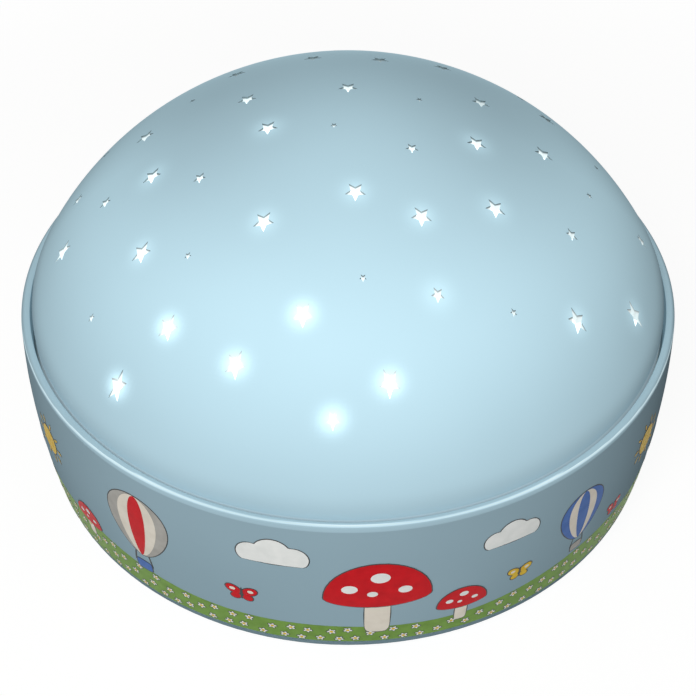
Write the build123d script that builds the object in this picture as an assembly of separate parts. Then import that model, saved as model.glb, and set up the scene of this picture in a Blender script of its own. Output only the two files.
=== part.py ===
from build123d import *
import os
from math import atan2, cos, degrees, hypot, radians, sin, tan

# Star night light: a dome pierced with stars, snapped into the rim of a drum-shaped base.
# Three AA cells in the base feed one LED under the dome, and a push button sits in the drum's back.
# Millimetres, +Z up. The origin is on the table below the drum's axis, and the front is towards -Y.

overrun = 1.0  # how far a cut runs past the piece that it cuts

# Drum
rim_radius = 75.0  # outside at the rim
foot_radius = 74.0  # outside just above the rounded foot
wall_bulge = 1.2  # swell of the wall past a straight line from foot to rim
base_height = 42.5  # underside of the pan up to the rim
drum_wall = 2.5  # at the foot
lip_round = 0.9
rim_width = 2.6  # from the drum's outside in to the dome
rim_recess = 7.0  # from the rim down to the ledge
ledge_width = 3.1
ledge_thick = 2.5
pillar_count = 4
pillar_angle = 45.0
pillar_inset = 7.2  # pillar's axis inside the spigot
pillar_radius = 4.0
pillar_height = 18.0
rib_thick = 2.0

# Dome and liner
dome_height = 46.2  # above the rim
dome_shoulder = 10.4  # radius of the turn from the skirt to the crown
dome_wall = 1.5
dome_gap = 0.6  # skirt to rim, open as a shadow line
liner_gap = 0.3
liner_wall = 1.0
hook_count = 6
hook_width = 8.0
hook_thick = 1.8
hook_gap = 0.3  # arm to the ledge's edge, and barb to its underside
barb_reach = 1.2
barb_height = 2.2
root_height = 4.1

# Stars, as shares of the dome's radius in plan. Tips point to the front.
large_star = 2.2  # tip radius
medium_star = 1.4
small_star = 0.75
star_tips = 5
star_valley_share = 0.45
large_star_shares = [
    (0.00, 0.12), (-0.23, -0.06), (-0.62, 0.14), (-0.57, -0.11), (-0.23, -0.40), (-0.58, -0.37),
    (-0.86, -0.15), (-0.49, -0.60), (-0.12, -0.65), (-0.30, -0.73), (-0.64, -0.66), (0.40, 0.16),
    (0.37, -0.08), (0.58, 0.00), (0.02, -0.33), (0.20, -0.39), (0.41, -0.31), (0.64, -0.52),
    (0.84, -0.37), (0.11, -0.79), (-0.11, 0.40), (-0.35, 0.38), (-0.30, 0.12), (0.10, 0.37),
    (0.30, 0.41), (0.63, 0.30),
]
medium_star_shares = [
    (-0.42, -0.20), (-0.84, 0.06), (-0.72, -0.10), (-0.78, 0.27), (0.56, 0.42), (0.18, -0.16),
    (0.64, -0.28), (0.91, -0.04), (0.24, -0.59), (-0.04, -0.86),
]
small_star_shares = [
    (-0.48, 0.25), (-0.04, -0.08), (-0.44, -0.44), (-0.73, -0.46), (0.21, 0.08), (0.78, 0.16),
    (0.72, -0.07), (0.04, -0.57), (0.45, -0.58),
]
rear_repeat_share = 0.45  # stars further forward than this are repeated half a turn round

# Pan
pan_floor = 2.8
foot_round = 3.5
spigot_wall = 2.1
spigot_height = 4.0
spigot_gap = 0.2

# Rubber feet
pad_count = 4
pad_inset = 10.5  # pad's middle inside the pan's flat underside
pad_radius = 5.2
pad_proud = 1.0  # how far the pan stands off the table
pad_sink = 0.8
pad_gap = 0.15
pad_round = 0.4

# Screws
case_head_radius = 2.7
case_head_height = 1.3
case_shank_radius = 1.45
case_shank_length = 10.0
board_head_radius = 2.2
board_head_height = 1.3
board_shank_radius = 1.0
board_shank_length = 5.0
door_shank_radius = 1.3
door_shank_length = 6.0
head_gap = 0.2  # round a sunk head, and above it
pass_gap = 0.2  # shank to the hole that it passes through
thread_gap = 0.05  # shank to the hole that it bites in
swing_gap = 0.4  # door screw to its boss, room for the door's swing
drive_width = 0.6
drive_depth = 0.7

# Cells
cell_count = 3
cell_radius = 7.1
cell_length = 50.5  # with the nub
cell_spacing = 0.8
nub_radius = 2.7
nub_length = 1.2
cell_gap = 0.4

# Contacts
contact_thick = 0.5
contact_width = 10.0
contact_edge = 0.3  # plate past the leaf's ends
leaf_depth = 3.6
leaf_chord = 9.0
leaf_width = 6.0
leaf_thick = 0.4
leaf_gap = 0.05
lug_width = 4.0
lug_rise = 2.5
lug_gap = 0.2

# Battery tray and door
tray_wall = 1.8
tray_roof = 1.8
flange_lap = 4.2
flange_thick = 1.6
divider_width = 2.0
divider_drop = 3.0
divider_length_share = 0.8  # of the bay's length
door_seat_gap = 0.2  # door's top to the tray's flange
door_lap = 1.2  # door past the bay's edge
door_gap = 0.3
hinge_gap = 0.4
tab_offset = 16.0
tab_width = 8.0
tab_reach = 3.0
tab_root = 1.6
tab_thick = 1.6
tab_gap = 0.15
window_gap = 0.4
tongue_radius = 6.5
door_boss_radius = 3.6
door_boss_height = 9.0

# Reflector deck and LED
deck_thick = 2.0
deck_gap = 0.35
notch_gap = 0.4
led_boss_radius = 17.0
led_boss_height = 3.0
slot_gap = 4.0  # LED boss to the leads' slot
slot_length = 14.0
slot_width = 6.0
board_thick = 1.6  # every circuit board
led_board_radius = 15.0
led_base_side = 6.0
led_base_height = 1.5
led_lens_radius = 2.5
led_lens_collar = 0.6
led_screw_inset = 4.5

# Push button and switch
button_height = 21.0  # above the pan's underside
button_radius = 7.0
button_gap = 0.3
button_inset = 0.7  # face behind the drum's widest outside
button_travel = 1.6
button_flange_reach = 1.7
button_flange_thick = 1.6
button_seat_gap = 0.1
button_stem_radius = 2.6
button_stem_length = 3.2
collar_wall = 2.7
collar_depth = 3.1
plunger_radius = 1.8
plunger_proud = 3.0
plunger_sunk = 3.5
plunger_gap = 0.1
pocket_spare = 0.4
switch_side = 8.5
switch_depth = 11.0

# Control board
board_width = 38.0
board_depth = 22.0
board_margin = 0.5  # board past the switch's face
standoff_radius = 3.0
standoff_shares = (0.38, 0.50)  # of the board's width and depth, as the places below
chip_length = 6.0
chip_width = 5.0
chip_height = 1.6
chip_shares = (-0.26, 0.77)
capacitor_radius = 3.0
capacitor_height = 8.0
capacitor_shares = (0.25, 0.77)
resistor_count = 3
resistor_pitch = 3.0
resistor_length = 2.0
resistor_width = 1.2
resistor_height = 0.6
resistor_shares = (0.0, 0.30)
battery_pad_shares = (0.37, 0.14)
led_pad_shares = (0.13, 0.14)

# Leads
lead_radius = 0.7
lead_rise = 10.0  # LED leads' loops above their boards
lead_headroom = 3.6  # battery leads' loops below the deck
lead_bend_share = 0.45  # of the shorter run that a bend takes up
led_solder_spread = 4.0  # drum's axis to each LED lead's end
led_solder_inset = 4.0  # LED board's edge to the leads' ends

# Radii that follow
dome_radius = rim_radius - rim_width
rim_bore = dome_radius + dome_gap
ledge_inner = rim_bore - ledge_width
shell_inner = foot_radius - drum_wall
spigot_outer = shell_inner - spigot_gap
spigot_inner = spigot_outer - spigot_wall
rim_inner = rim_radius - drum_wall
flat_radius = foot_radius - foot_round
pillar_ring = spigot_inner - pillar_inset
pad_ring = flat_radius - pad_inset
button_flange_radius = button_radius + button_flange_reach
collar_radius = button_radius + button_gap + collar_wall
belly_radius = (foot_radius + rim_radius) / 2 + wall_bulge
hook_out = ledge_inner - hook_gap
hook_in = hook_out - hook_thick
shoulder_ring = dome_radius - dome_shoulder
crown_radius = (shoulder_ring**2 + dome_height**2 - dome_shoulder**2) / (2 * (dome_height - dome_shoulder))
crown_lean = degrees(atan2(crown_radius - dome_height, shoulder_ring))

# Heights that follow
base_z = pad_proud
floor_z = base_z + pan_floor
seam_z = base_z + foot_round
spigot_z = seam_z + spigot_height
rim_z = base_z + base_height
ledge_z = rim_z - rim_recess
ledge_under_z = ledge_z - ledge_thick
deck_z = ledge_z + deck_thick
root_z = deck_z + root_height
barb_top_z = ledge_under_z - hook_gap
barb_low_z = barb_top_z - barb_height
top_z = rim_z + dome_height
pillar_z = floor_z + pillar_height
recess_z = base_z + case_head_height + head_gap
door_top_z = floor_z - door_seat_gap
cell_z = door_top_z + cell_gap + cell_radius
roof_z = cell_z + cell_radius + cell_gap
roof_top_z = roof_z + tray_roof
flange_z = floor_z + flange_thick
door_boss_z = floor_z + door_boss_height
tab_z = floor_z + tab_gap + tab_thick
lug_z = roof_top_z + lug_rise
led_boss_z = deck_z + led_boss_height
led_board_z = led_boss_z + board_thick
led_base_z = led_board_z + led_base_height
button_z = base_z + button_height
board_z = button_z - switch_side / 2
board_under_z = board_z - board_thick


# Inside of the drum's wall, which leans from foot to rim
def wall_inside(z):
    return shell_inner + (rim_inner - shell_inner) * (z - seam_z) / (ledge_under_z - seam_z)


# Lengths across and along that follow
door_thick = door_top_z - base_z
cell_pitch = 2 * cell_radius + cell_spacing
contact_height = leaf_chord + 2 * contact_edge
slot_offset = led_boss_radius + slot_gap + slot_width / 2
led_screw_offset = led_board_radius - led_screw_inset
led_solder_depth = led_board_radius - led_solder_inset
bay_x = (cell_length + leaf_depth + 2 * contact_thick) / 2
bay_y = (cell_pitch * (cell_count - 1)) / 2 + cell_radius + cell_gap
door_x = bay_x + door_lap
door_y = bay_y + door_lap
door_screw_y = bay_y + tray_wall + door_boss_radius
collar_y = wall_inside(button_z) - collar_depth
flange_y = collar_y - button_seat_gap
stem_y = flange_y - button_flange_thick
plunger_y = stem_y - button_stem_length
switch_y = plunger_y - plunger_proud
board_far_y = switch_y + board_margin
board_near_y = board_far_y - board_depth

from_below = (Align.CENTER, Align.CENTER, Align.MIN)
from_corner = (Align.MIN, Align.MIN, Align.MIN)


# Upright cylinder between two heights
def disc(radius, low, high, x=0, y=0):
    return Pos(x, y, low) * Cylinder(radius, high - low, align=from_below)


# Cylinder along Y between two depths
def bar(radius, near, far, x, z):
    return Pos(x, near, z) * Rot(-90, 0, 0) * Cylinder(radius, far - near, align=from_below)


# Cylinder along X between two places
def rod(radius, left, right, y, z):
    return Pos(left, y, z) * Rot(0, 90, 0) * Cylinder(radius, right - left, align=from_below)


# Two ends either side of a middle
def span(middle, length):
    return middle - length / 2, middle + length / 2


# Box between two ends on each axis, given in either order
def block(x_ends, y_ends, z_ends):
    ends = [sorted(pair) for pair in (x_ends, y_ends, z_ends)]
    lengths = [high - low for low, high in ends]
    return Pos(*[low for low, high in ends]) * Box(*lengths, align=from_corner)


# Solid of revolution from edges drawn as radius and height
def turned(edges):
    return revolve(Plane.XZ * make_face(edges), Axis.Z)


# Copies of a shape evenly round the axis, the first one turned by the start angle
def around(shape, count, start=0):
    return [Rot(0, 0, start + i * 360 / count) * shape for i in range(count)]


# Screw with its head's outer face at the origin and its shank upwards, with a crossed drive
def screw(head_radius, head_height, shank_radius, shank_length):
    body = disc(head_radius, 0, head_height) + disc(shank_radius, head_height, head_height + shank_length)
    long_way = span(0, head_radius)
    short_way = span(0, drive_width)
    depth = (-overrun, drive_depth)
    return body - block(long_way, short_way, depth) - block(short_way, long_way, depth)


# Place on the control board from shares of its width and depth
def on_board(shares, side=1):
    return side * shares[0] * board_width, board_near_y + shares[1] * board_depth


def cell_y(index):
    return (index - (cell_count - 1) / 2) * cell_pitch


# Pillar with a rib into the middle of the wall
def screw_pillar():
    rib_z = spigot_z + overrun
    sink = drum_wall / 2
    outline = Polyline(
        (pillar_ring, rib_z),
        (wall_inside(rib_z) + sink, rib_z),
        (wall_inside(pillar_z) + sink, pillar_z),
        (pillar_ring, pillar_z),
        (pillar_ring, rib_z),
    )
    rib = extrude(Plane.XZ * make_face(outline), rib_thick / 2, both=True)
    return disc(pillar_radius, floor_z, pillar_z, pillar_ring) + rib


def base_shell():
    middle_z = (seam_z + rim_z - lip_round) / 2
    shell = turned([
        Line((shell_inner, seam_z), (foot_radius, seam_z)),
        ThreePointArc((foot_radius, seam_z), (belly_radius, middle_z), (rim_radius, rim_z - lip_round)),
        CenterArc((rim_radius - lip_round, rim_z - lip_round), lip_round, 0, 90),
        Polyline(
            (rim_radius - lip_round, rim_z),
            (rim_bore, rim_z),
            (rim_bore, ledge_z),
            (ledge_inner, ledge_z),
            (ledge_inner, ledge_under_z),
            (rim_inner, ledge_under_z),
            (shell_inner, seam_z),
        ),
    ])
    shell += around(screw_pillar(), pillar_count, pillar_angle)
    pilot = disc(case_shank_radius + thread_gap, floor_z - overrun, pillar_z - overrun, pillar_ring)
    shell -= around(pilot, pillar_count, pillar_angle)
    shell += bar(collar_radius, collar_y, wall_inside(button_z) + drum_wall / 2, 0, button_z)
    shell -= bar(button_radius + button_gap, collar_y - overrun, belly_radius + overrun, 0, button_z)
    return shell


def pan_with_spigot():
    return turned([
        Line((0, base_z), (flat_radius, base_z)),
        CenterArc((flat_radius, seam_z), foot_round, 270, 90),
        Polyline(
            (foot_radius, seam_z),
            (spigot_outer, seam_z),
            (spigot_outer, spigot_z),
            (spigot_inner, spigot_z),
            (spigot_inner, floor_z),
            (0, floor_z),
            (0, base_z),
        ),
    ])


# The door's outline, with room all round but at the hinge side
def door_outline(room, hinge_room, low, high):
    panel = block(span(0, 2 * (door_x + room)), (hinge_room - bay_y, door_y + room), (low, high))
    neck = tongue_radius + room
    panel += block(span(0, 2 * neck), (0, door_screw_y), (low, high))
    return panel + disc(neck, low, high, 0, door_screw_y)


def battery_tray():
    tray = block(span(0, 2 * (bay_x + tray_wall)), span(0, 2 * (bay_y + tray_wall)), (floor_z, roof_top_z))
    tray += block(span(0, 2 * (bay_x + flange_lap)), span(0, 2 * (bay_y + flange_lap)), (floor_z, flange_z))
    tray += disc(tongue_radius + flange_lap, floor_z, flange_z, 0, door_screw_y)
    tray += disc(door_boss_radius, floor_z, door_boss_z, 0, door_screw_y)
    return tray


def tab_windows():
    width = tab_width + 2 * window_gap
    high = floor_z + hypot(tab_reach, tab_gap + tab_thick) + window_gap
    reach = (-bay_y - flange_lap - overrun, -bay_y + overrun)
    return [block(span(x, width), reach, (floor_z, high)) for x in (-tab_offset, tab_offset)]


def lug_slots():
    inner = bay_x - contact_thick - lug_gap
    depth = (roof_z - overrun, roof_top_z + overrun)
    slots = []
    for side, index in ((1, cell_count - 1), (-1, 0)):
        slots.append(block((side * inner, side * bay_x), span(cell_y(index), lug_width + 2 * lug_gap), depth))
    return slots


def bottom_pan():
    pan = pan_with_spigot() + battery_tray()
    bay = block(span(0, 2 * bay_x), span(0, 2 * bay_y), (base_z - overrun, roof_z))
    pan -= [bay, door_outline(door_gap, 0, base_z - overrun, floor_z)]
    divider_length = 2 * bay_x * divider_length_share
    for index in range(cell_count - 1):
        y = (cell_y(index) + cell_y(index + 1)) / 2
        pan += block(span(0, divider_length), span(y, divider_width), (roof_z - divider_drop, roof_top_z))
    pan -= tab_windows() + lug_slots()
    pan -= disc(door_shank_radius + swing_gap, floor_z - overrun, door_boss_z + overrun, 0, door_screw_y)
    for side in (-1, 1):
        x, y = on_board(standoff_shares, side)
        pan += disc(standoff_radius, floor_z, board_under_z, x, y)
        pan -= disc(board_shank_radius + thread_gap, floor_z + overrun, board_under_z + overrun, x, y)
    hole = disc(case_shank_radius + pass_gap, base_z - overrun, floor_z + overrun, pillar_ring)
    hole += disc(case_head_radius + head_gap, base_z - overrun, recess_z, pillar_ring)
    pan -= around(hole, pillar_count, pillar_angle)
    pan -= around(disc(pad_radius + pad_gap, base_z - overrun, base_z + pad_sink, pad_ring), pad_count)
    return pan


def rubber_feet():
    pad = disc(pad_radius, 0, base_z + pad_sink, pad_ring)
    pad = fillet(pad.edges().sort_by(Axis.Z)[0], pad_round)
    return around(pad, pad_count)


def case_screws():
    one = screw(case_head_radius, case_head_height, case_shank_radius, case_shank_length)
    return around(Pos(pillar_ring, 0, recess_z - case_head_height) * one, pillar_count, pillar_angle)


# The hinge edge is cut back below, so that the door can swing down past the pan's edge
def battery_door():
    door = door_outline(0, hinge_gap, base_z, door_top_z)
    edge_y = hinge_gap - bay_y
    wedge = make_face(Polyline(
        (edge_y, door_top_z), (edge_y + door_thick, base_z), (edge_y, base_z), (edge_y, door_top_z)))
    door -= Pos(-door_x - overrun, 0, 0) * extrude(Plane.YZ * wedge, 2 * (door_x + overrun))
    for x in (-tab_offset, tab_offset):
        width = span(x, tab_width)
        door += block(width, (edge_y, edge_y + tab_root), (door_top_z, tab_z))
        door += block(width, (-bay_y - tab_reach, edge_y + tab_root), (floor_z + tab_gap, tab_z))
    door -= disc(door_shank_radius + pass_gap, base_z - overrun, door_top_z + overrun, 0, door_screw_y)
    door -= disc(case_head_radius + head_gap, base_z - overrun, recess_z, 0, door_screw_y)
    return door


def door_screw():
    one = screw(case_head_radius, case_head_height, door_shank_radius, door_shank_length)
    return Pos(0, door_screw_y, recess_z - case_head_height) * one


def battery_cell(index):
    toward = 1 if index % 2 == 0 else -1
    nub_x = toward * (bay_x - contact_thick)
    can_x = nub_x - toward * nub_length
    end_x = nub_x - toward * cell_length
    y = cell_y(index)
    can = rod(cell_radius, min(can_x, end_x), max(can_x, end_x), y, cell_z)
    return can + rod(nub_radius, min(can_x, nub_x), max(can_x, nub_x), y, cell_z)


def contact_plate(side, first, last):
    half = contact_width / 2
    across = (cell_y(first) - half, cell_y(last) + half)
    return block((side * (bay_x - contact_thick), side * bay_x), across, span(cell_z, contact_height))


# Bowed spring on a contact plate, which presses on a cell's flat end
def contact_leaf(side, index):
    depth = leaf_depth - leaf_gap
    radius = (leaf_chord**2 / 4 + depth**2) / (2 * depth)
    face_x = side * (bay_x - contact_thick)
    centre_x = face_x + side * (radius - depth)
    ends = span(cell_y(index), leaf_width)
    bow = bar(radius, *ends, centre_x, cell_z) - bar(radius - leaf_thick, *ends, centre_x, cell_z)
    return bow & block((face_x, face_x - side * (depth + overrun)), ends, span(cell_z, 2 * leaf_chord))


def solder_lug(side, index):
    across = span(cell_y(index), lug_width)
    return block((side * (bay_x - contact_thick), side * bay_x), across, (cell_z, lug_z))


# Each bridge joins one cell's nub to the next cell's flat end
def bridge_contacts():
    bridges = []
    for index in range(cell_count - 1):
        side = 1 if index % 2 == 0 else -1
        bridges.append(contact_plate(side, index, index + 1) + contact_leaf(side, index + 1))
    return bridges


def positive_terminal():
    return contact_plate(1, cell_count - 1, cell_count - 1) + solder_lug(1, cell_count - 1)


def negative_terminal():
    return contact_plate(-1, 0, 0) + contact_leaf(-1, 0) + solder_lug(-1, 0)


# Shoulder and crown of the dome, moved in from its outside
def dome_curve(inset):
    return [
        CenterArc((shoulder_ring, rim_z), dome_shoulder - inset, 0, crown_lean),
        CenterArc((0, top_z - crown_radius), crown_radius - inset, crown_lean, 90 - crown_lean),
    ]


# Dome-shaped wall between two insets, with a straight skirt down to the deck
def domed_wall(outer_inset, inner_inset):
    outer = dome_radius - outer_inset
    inner = dome_radius - inner_inset
    skirt = Polyline((outer, rim_z), (outer, deck_z), (inner, deck_z), (inner, rim_z))
    crown = Line((0, top_z - outer_inset), (0, top_z - inner_inset))
    return turned([*dome_curve(outer_inset), crown, *dome_curve(inner_inset), skirt])


def snap_hook():
    width = span(0, hook_width)
    hook = block((hook_in, hook_out), width, (barb_low_z, root_z))
    hook += block((hook_in, hook_out + barb_reach), width, (barb_low_z, barb_top_z))
    return hook + block((hook_in, dome_radius - dome_wall / 2), width, (deck_z, root_z))


# Room for a hook through the deck and the liner
def hook_notch(low, high):
    width = span(0, hook_width + 2 * notch_gap)
    return block((hook_in - notch_gap, dome_radius + overrun), width, (low, high))


def star_prism(tip_radius, shares):
    corners = []
    for i in range(2 * star_tips):
        radius = tip_radius if i % 2 == 0 else tip_radius * star_valley_share
        angle = radians(i * 180 / star_tips - 90)
        corners.append((radius * cos(angle), radius * sin(angle)))
    x, y = [share * dome_radius for share in shares]
    return extrude(Pos(x, y, rim_z) * Polygon(*corners, align=None), dome_height + overrun)


def star_prisms():
    prisms = []
    sizes = (large_star, medium_star, small_star)
    tables = (large_star_shares, medium_star_shares, small_star_shares)
    for tip_radius, places in zip(sizes, tables):
        rear = [(-x, -y) for x, y in places if y < -rear_repeat_share]
        prisms += [star_prism(tip_radius, place) for place in places + rear]
    return prisms


def dome_shell():
    return domed_wall(0, dome_wall) + around(snap_hook(), hook_count) - star_prisms()


def star_liner():
    outer = dome_wall + liner_gap
    liner = domed_wall(outer, outer + liner_wall)
    return liner - around(hook_notch(deck_z - overrun, root_z + notch_gap), hook_count)


def led_screw_places():
    return [Pos(side * led_screw_offset, 0, 0) for side in (-1, 1)]


def reflector_deck():
    deck = disc(rim_bore - deck_gap, ledge_z, deck_z) + disc(led_boss_radius, deck_z, led_boss_z)
    deck -= around(hook_notch(ledge_z - overrun, deck_z + overrun), hook_count)
    deck -= block(span(0, slot_length), span(slot_offset, slot_width), (ledge_z - overrun, deck_z + overrun))
    pilot = disc(board_shank_radius + thread_gap, ledge_z - overrun, led_boss_z + overrun)
    return deck - [place * pilot for place in led_screw_places()]


def led_board():
    hole = disc(board_shank_radius + pass_gap, led_boss_z - overrun, led_board_z + overrun)
    return disc(led_board_radius, led_boss_z, led_board_z) - [place * hole for place in led_screw_places()]


def led_base():
    return block(span(0, led_base_side), span(0, led_base_side), (led_board_z, led_base_z))


def led_lens():
    collar_z = led_base_z + led_lens_collar
    return turned([
        Polyline((0, led_base_z), (led_lens_radius, led_base_z), (led_lens_radius, collar_z)),
        CenterArc((0, collar_z), led_lens_radius, 0, 90),
        Line((0, collar_z + led_lens_radius), (0, led_base_z)),
    ])


# Board screw with its head's underside on a board's top
def board_screw(x, y, z):
    one = screw(board_head_radius, board_head_height, board_shank_radius, board_shank_length)
    return Pos(x, y, z + board_head_height) * Rot(180, 0, 0) * one


def led_board_screws():
    return [board_screw(side * led_screw_offset, 0, led_board_z) for side in (-1, 1)]


def control_board():
    board = block(span(0, board_width), (board_near_y, board_far_y), (board_under_z, board_z))
    for side in (-1, 1):
        board -= disc(board_shank_radius + pass_gap, board_under_z - overrun, board_z + overrun,
                      *on_board(standoff_shares, side))
    return board


def board_screws():
    return [board_screw(*on_board(standoff_shares, side), board_z) for side in (-1, 1)]


def push_switch():
    heights = (board_z, board_z + switch_side)
    switch = block(span(0, switch_side), (switch_y - switch_depth, switch_y), heights)
    pocket_y = switch_y - plunger_sunk - button_travel - pocket_spare
    return switch - bar(plunger_radius + plunger_gap, pocket_y, switch_y + overrun, 0, button_z)


def switch_plunger():
    return bar(plunger_radius, switch_y - plunger_sunk, plunger_y, 0, button_z)


# Cap with a face that follows the drum, a flange behind the collar and a stem to the plunger
def power_button():
    face_radius = belly_radius - button_inset
    cap = bar(button_radius, flange_y, belly_radius, 0, button_z) & disc(face_radius, base_z, rim_z)
    cap += bar(button_flange_radius, stem_y, flange_y, 0, button_z)
    return cap + bar(button_stem_radius, plunger_y, stem_y, 0, button_z)


def timer_chip():
    x, y = on_board(chip_shares)
    return block(span(x, chip_length), span(y, chip_width), (board_z, board_z + chip_height))


def filter_capacitor():
    return disc(capacitor_radius, board_z, board_z + capacitor_height, *on_board(capacitor_shares))


def chip_resistors():
    middle_x, y = on_board(resistor_shares)
    resistors = []
    for index in range(resistor_count):
        x = middle_x + (index - (resistor_count - 1) / 2) * resistor_pitch
        heights = (board_z, board_z + resistor_height)
        resistors.append(block(span(x, resistor_width), span(y, resistor_length), heights))
    return resistors


# Round wire along straight runs, with each bend as wide as its two runs allow
def wire(name, route):
    points = [Vector(*point) for point in route]
    runs = [b - a for a, b in zip(points, points[1:])]
    radii = []
    for before, after in zip(runs, runs[1:]):
        half_turn = radians(before.get_angle(after) / 2)
        radii.append(lead_bend_share * min(before.length, after.length) / tan(half_turn))
    print(name, "bend radii", [round(radius, 1) for radius in radii])
    path = FilletPolyline(*points, radius=radii)
    return sweep(Plane(origin=path @ 0, z_dir=path % 0) * Circle(lead_radius), path=path)


# From a cell contact's lug, over the tray and down to the control board
def battery_lead(name, side, index):
    start_x = side * (bay_x - contact_thick / 2)
    end_x, end_y = on_board(battery_pad_shares, side)
    return wire(name, [
        (start_x, cell_y(index), lug_z),
        (start_x, cell_y(index), ledge_z - lead_headroom),
        (end_x, end_y, ledge_z - lead_headroom),
        (end_x, end_y, board_z),
    ])


# From the control board up through the deck's slot and over to the LED board
def led_lead(name, side):
    start_x, start_y = on_board(led_pad_shares, side)
    end_x = side * led_solder_spread
    return wire(name, [
        (start_x, start_y, board_z),
        (start_x, start_y, board_z + lead_rise),
        (end_x, slot_offset, ledge_z - lead_rise / 2),
        (end_x, slot_offset, led_board_z + lead_rise),
        (end_x, led_solder_depth, led_board_z + lead_rise),
        (end_x, led_solder_depth, led_board_z),
    ])


pieces = {
    "base_shell": base_shell(),
    "bottom_pan": bottom_pan(),
    "rubber_feet": rubber_feet(),
    "case_screws": case_screws(),
    "battery_door": battery_door(),
    "door_screw": door_screw(),
    "bridge_contacts": bridge_contacts(),
    "positive_terminal": positive_terminal(),
    "negative_terminal": negative_terminal(),
    "dome_shell": dome_shell(),
    "star_liner": star_liner(),
    "reflector_deck": reflector_deck(),
    "led_board": led_board(),
    "led_base": led_base(),
    "led_lens": led_lens(),
    "led_board_screws": led_board_screws(),
    "control_board": control_board(),
    "board_screws": board_screws(),
    "push_switch": push_switch(),
    "switch_plunger": switch_plunger(),
    "power_button": power_button(),
    "timer_chip": timer_chip(),
    "filter_capacitor": filter_capacitor(),
    "chip_resistors": chip_resistors(),
    "battery_lead_red": battery_lead("battery_lead_red", 1, cell_count - 1),
    "battery_lead_black": battery_lead("battery_lead_black", -1, 0),
    "led_lead_red": led_lead("led_lead_red", 1),
    "led_lead_black": led_lead("led_lead_black", -1),
}
for index in range(cell_count):
    pieces[f"battery_cell_{index + 1}"] = battery_cell(index)

os.makedirs("parts", exist_ok=True)
for name, piece in pieces.items():
    if isinstance(piece, list):
        piece = Compound(children=piece)
    export_step(piece, f"parts/{name}.step")
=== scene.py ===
import math

import bmesh
import bpy
import numpy as np
from mathutils import Matrix, Vector


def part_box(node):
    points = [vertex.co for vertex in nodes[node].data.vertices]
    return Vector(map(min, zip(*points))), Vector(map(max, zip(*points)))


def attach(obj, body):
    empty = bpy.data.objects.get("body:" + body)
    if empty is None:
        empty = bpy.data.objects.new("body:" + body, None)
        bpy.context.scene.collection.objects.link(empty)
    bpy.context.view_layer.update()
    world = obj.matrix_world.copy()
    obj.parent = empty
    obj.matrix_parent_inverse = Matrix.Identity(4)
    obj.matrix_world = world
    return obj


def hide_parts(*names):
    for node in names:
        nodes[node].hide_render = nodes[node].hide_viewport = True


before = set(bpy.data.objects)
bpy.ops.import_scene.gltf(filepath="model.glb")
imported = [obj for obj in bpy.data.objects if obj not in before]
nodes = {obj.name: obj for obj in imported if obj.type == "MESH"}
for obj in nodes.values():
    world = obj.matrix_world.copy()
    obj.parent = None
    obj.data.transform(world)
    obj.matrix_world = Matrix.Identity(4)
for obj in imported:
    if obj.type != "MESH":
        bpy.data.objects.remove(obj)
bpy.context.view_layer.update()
mm = 0.001  # sizes in the dictionaries are millimetres
sliver = 0.001 * mm  # points closer than this count as one
smoothAngle = 35.0  # edges that turn by more degrees than this stay sharp
print("frame:", len(nodes), "nodes")

# Heights and radii that several pieces share, read from the frame
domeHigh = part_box("dome_shell")[1]
topZ = domeHigh.z
domeRadius = domeHigh.x
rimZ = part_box("base_shell")[1].z
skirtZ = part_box("star_liner")[0].z
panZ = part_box("bottom_pan")[0].z


def sizesOf(sizes, *names):  # some of a piece's sizes, in metres
    return [sizes[name] * mm for name in names]


def linear(hexColour):  # sRGB hex to linear RGBA
    channels = [int(hexColour[i:i + 2], 16) / 255 for i in (1, 3, 5)]
    return [c / 12.92 if c <= 0.04045 else ((c + 0.055) / 1.055) ** 2.4 for c in channels] + [1.0]


def addNode(tree, kind, inputs=None, **settings):  # a node with its settings, values and links
    node = tree.nodes.new(kind)
    for name, value in settings.items():
        setattr(node, name, value)
    for key, value in (inputs or {}).items():
        if isinstance(value, bpy.types.NodeSocket):
            tree.links.new(value, node.inputs[key])
        else:
            node.inputs[key].default_value = value
    return node


def bareTree(owner):  # node tree of a material or world, emptied
    owner.use_nodes = True
    owner.node_tree.nodes.clear()
    return owner.node_tree


def newPiece(name, mesh):
    piece = bpy.data.objects.new(name, mesh)
    mesh.name = name
    bpy.context.scene.collection.objects.link(piece)
    return piece


def applied(piece):  # the piece as its modifiers leave it, with a plain mesh
    bpy.context.view_layer.update()
    mesh = bpy.data.meshes.new_from_object(piece.evaluated_get(bpy.context.evaluated_depsgraph_get()))
    piece.modifiers.clear()
    piece.data = mesh
    mesh.name = piece.name
    return piece


def newTree(name, inputs):  # geometry tree with a mesh in, a mesh out and named inputs
    tree = bpy.data.node_groups.new(name, "GeometryNodeTree")
    tree.interface.new_socket("Geometry", in_out="OUTPUT", socket_type="NodeSocketGeometry")
    tree.interface.new_socket("Geometry", in_out="INPUT", socket_type="NodeSocketGeometry")
    for socketName, kind in inputs.items():
        tree.interface.new_socket(socketName, in_out="INPUT", socket_type="NodeSocket" + kind)
    return tree, addNode(tree, "NodeGroupInput").outputs


def endTree(tree, geometry, material, marks=None):  # one material all over, and others on marked faces
    whole = addNode(tree, "GeometryNodeRealizeInstances", {"Geometry": geometry})
    dressed = addNode(tree, "GeometryNodeSetMaterial", {"Geometry": whole.outputs[0], "Material": material})
    for mark, other in (marks or {}).items():
        marked = addNode(tree, "GeometryNodeInputNamedAttribute", {"Name": mark}, data_type="BOOLEAN")
        dressed = addNode(tree, "GeometryNodeSetMaterial", {
            "Geometry": dressed.outputs[0], "Selection": marked.outputs[0], "Material": other})
    addNode(tree, "NodeGroupOutput", {"Geometry": dressed.outputs[0]})
    return tree


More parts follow.
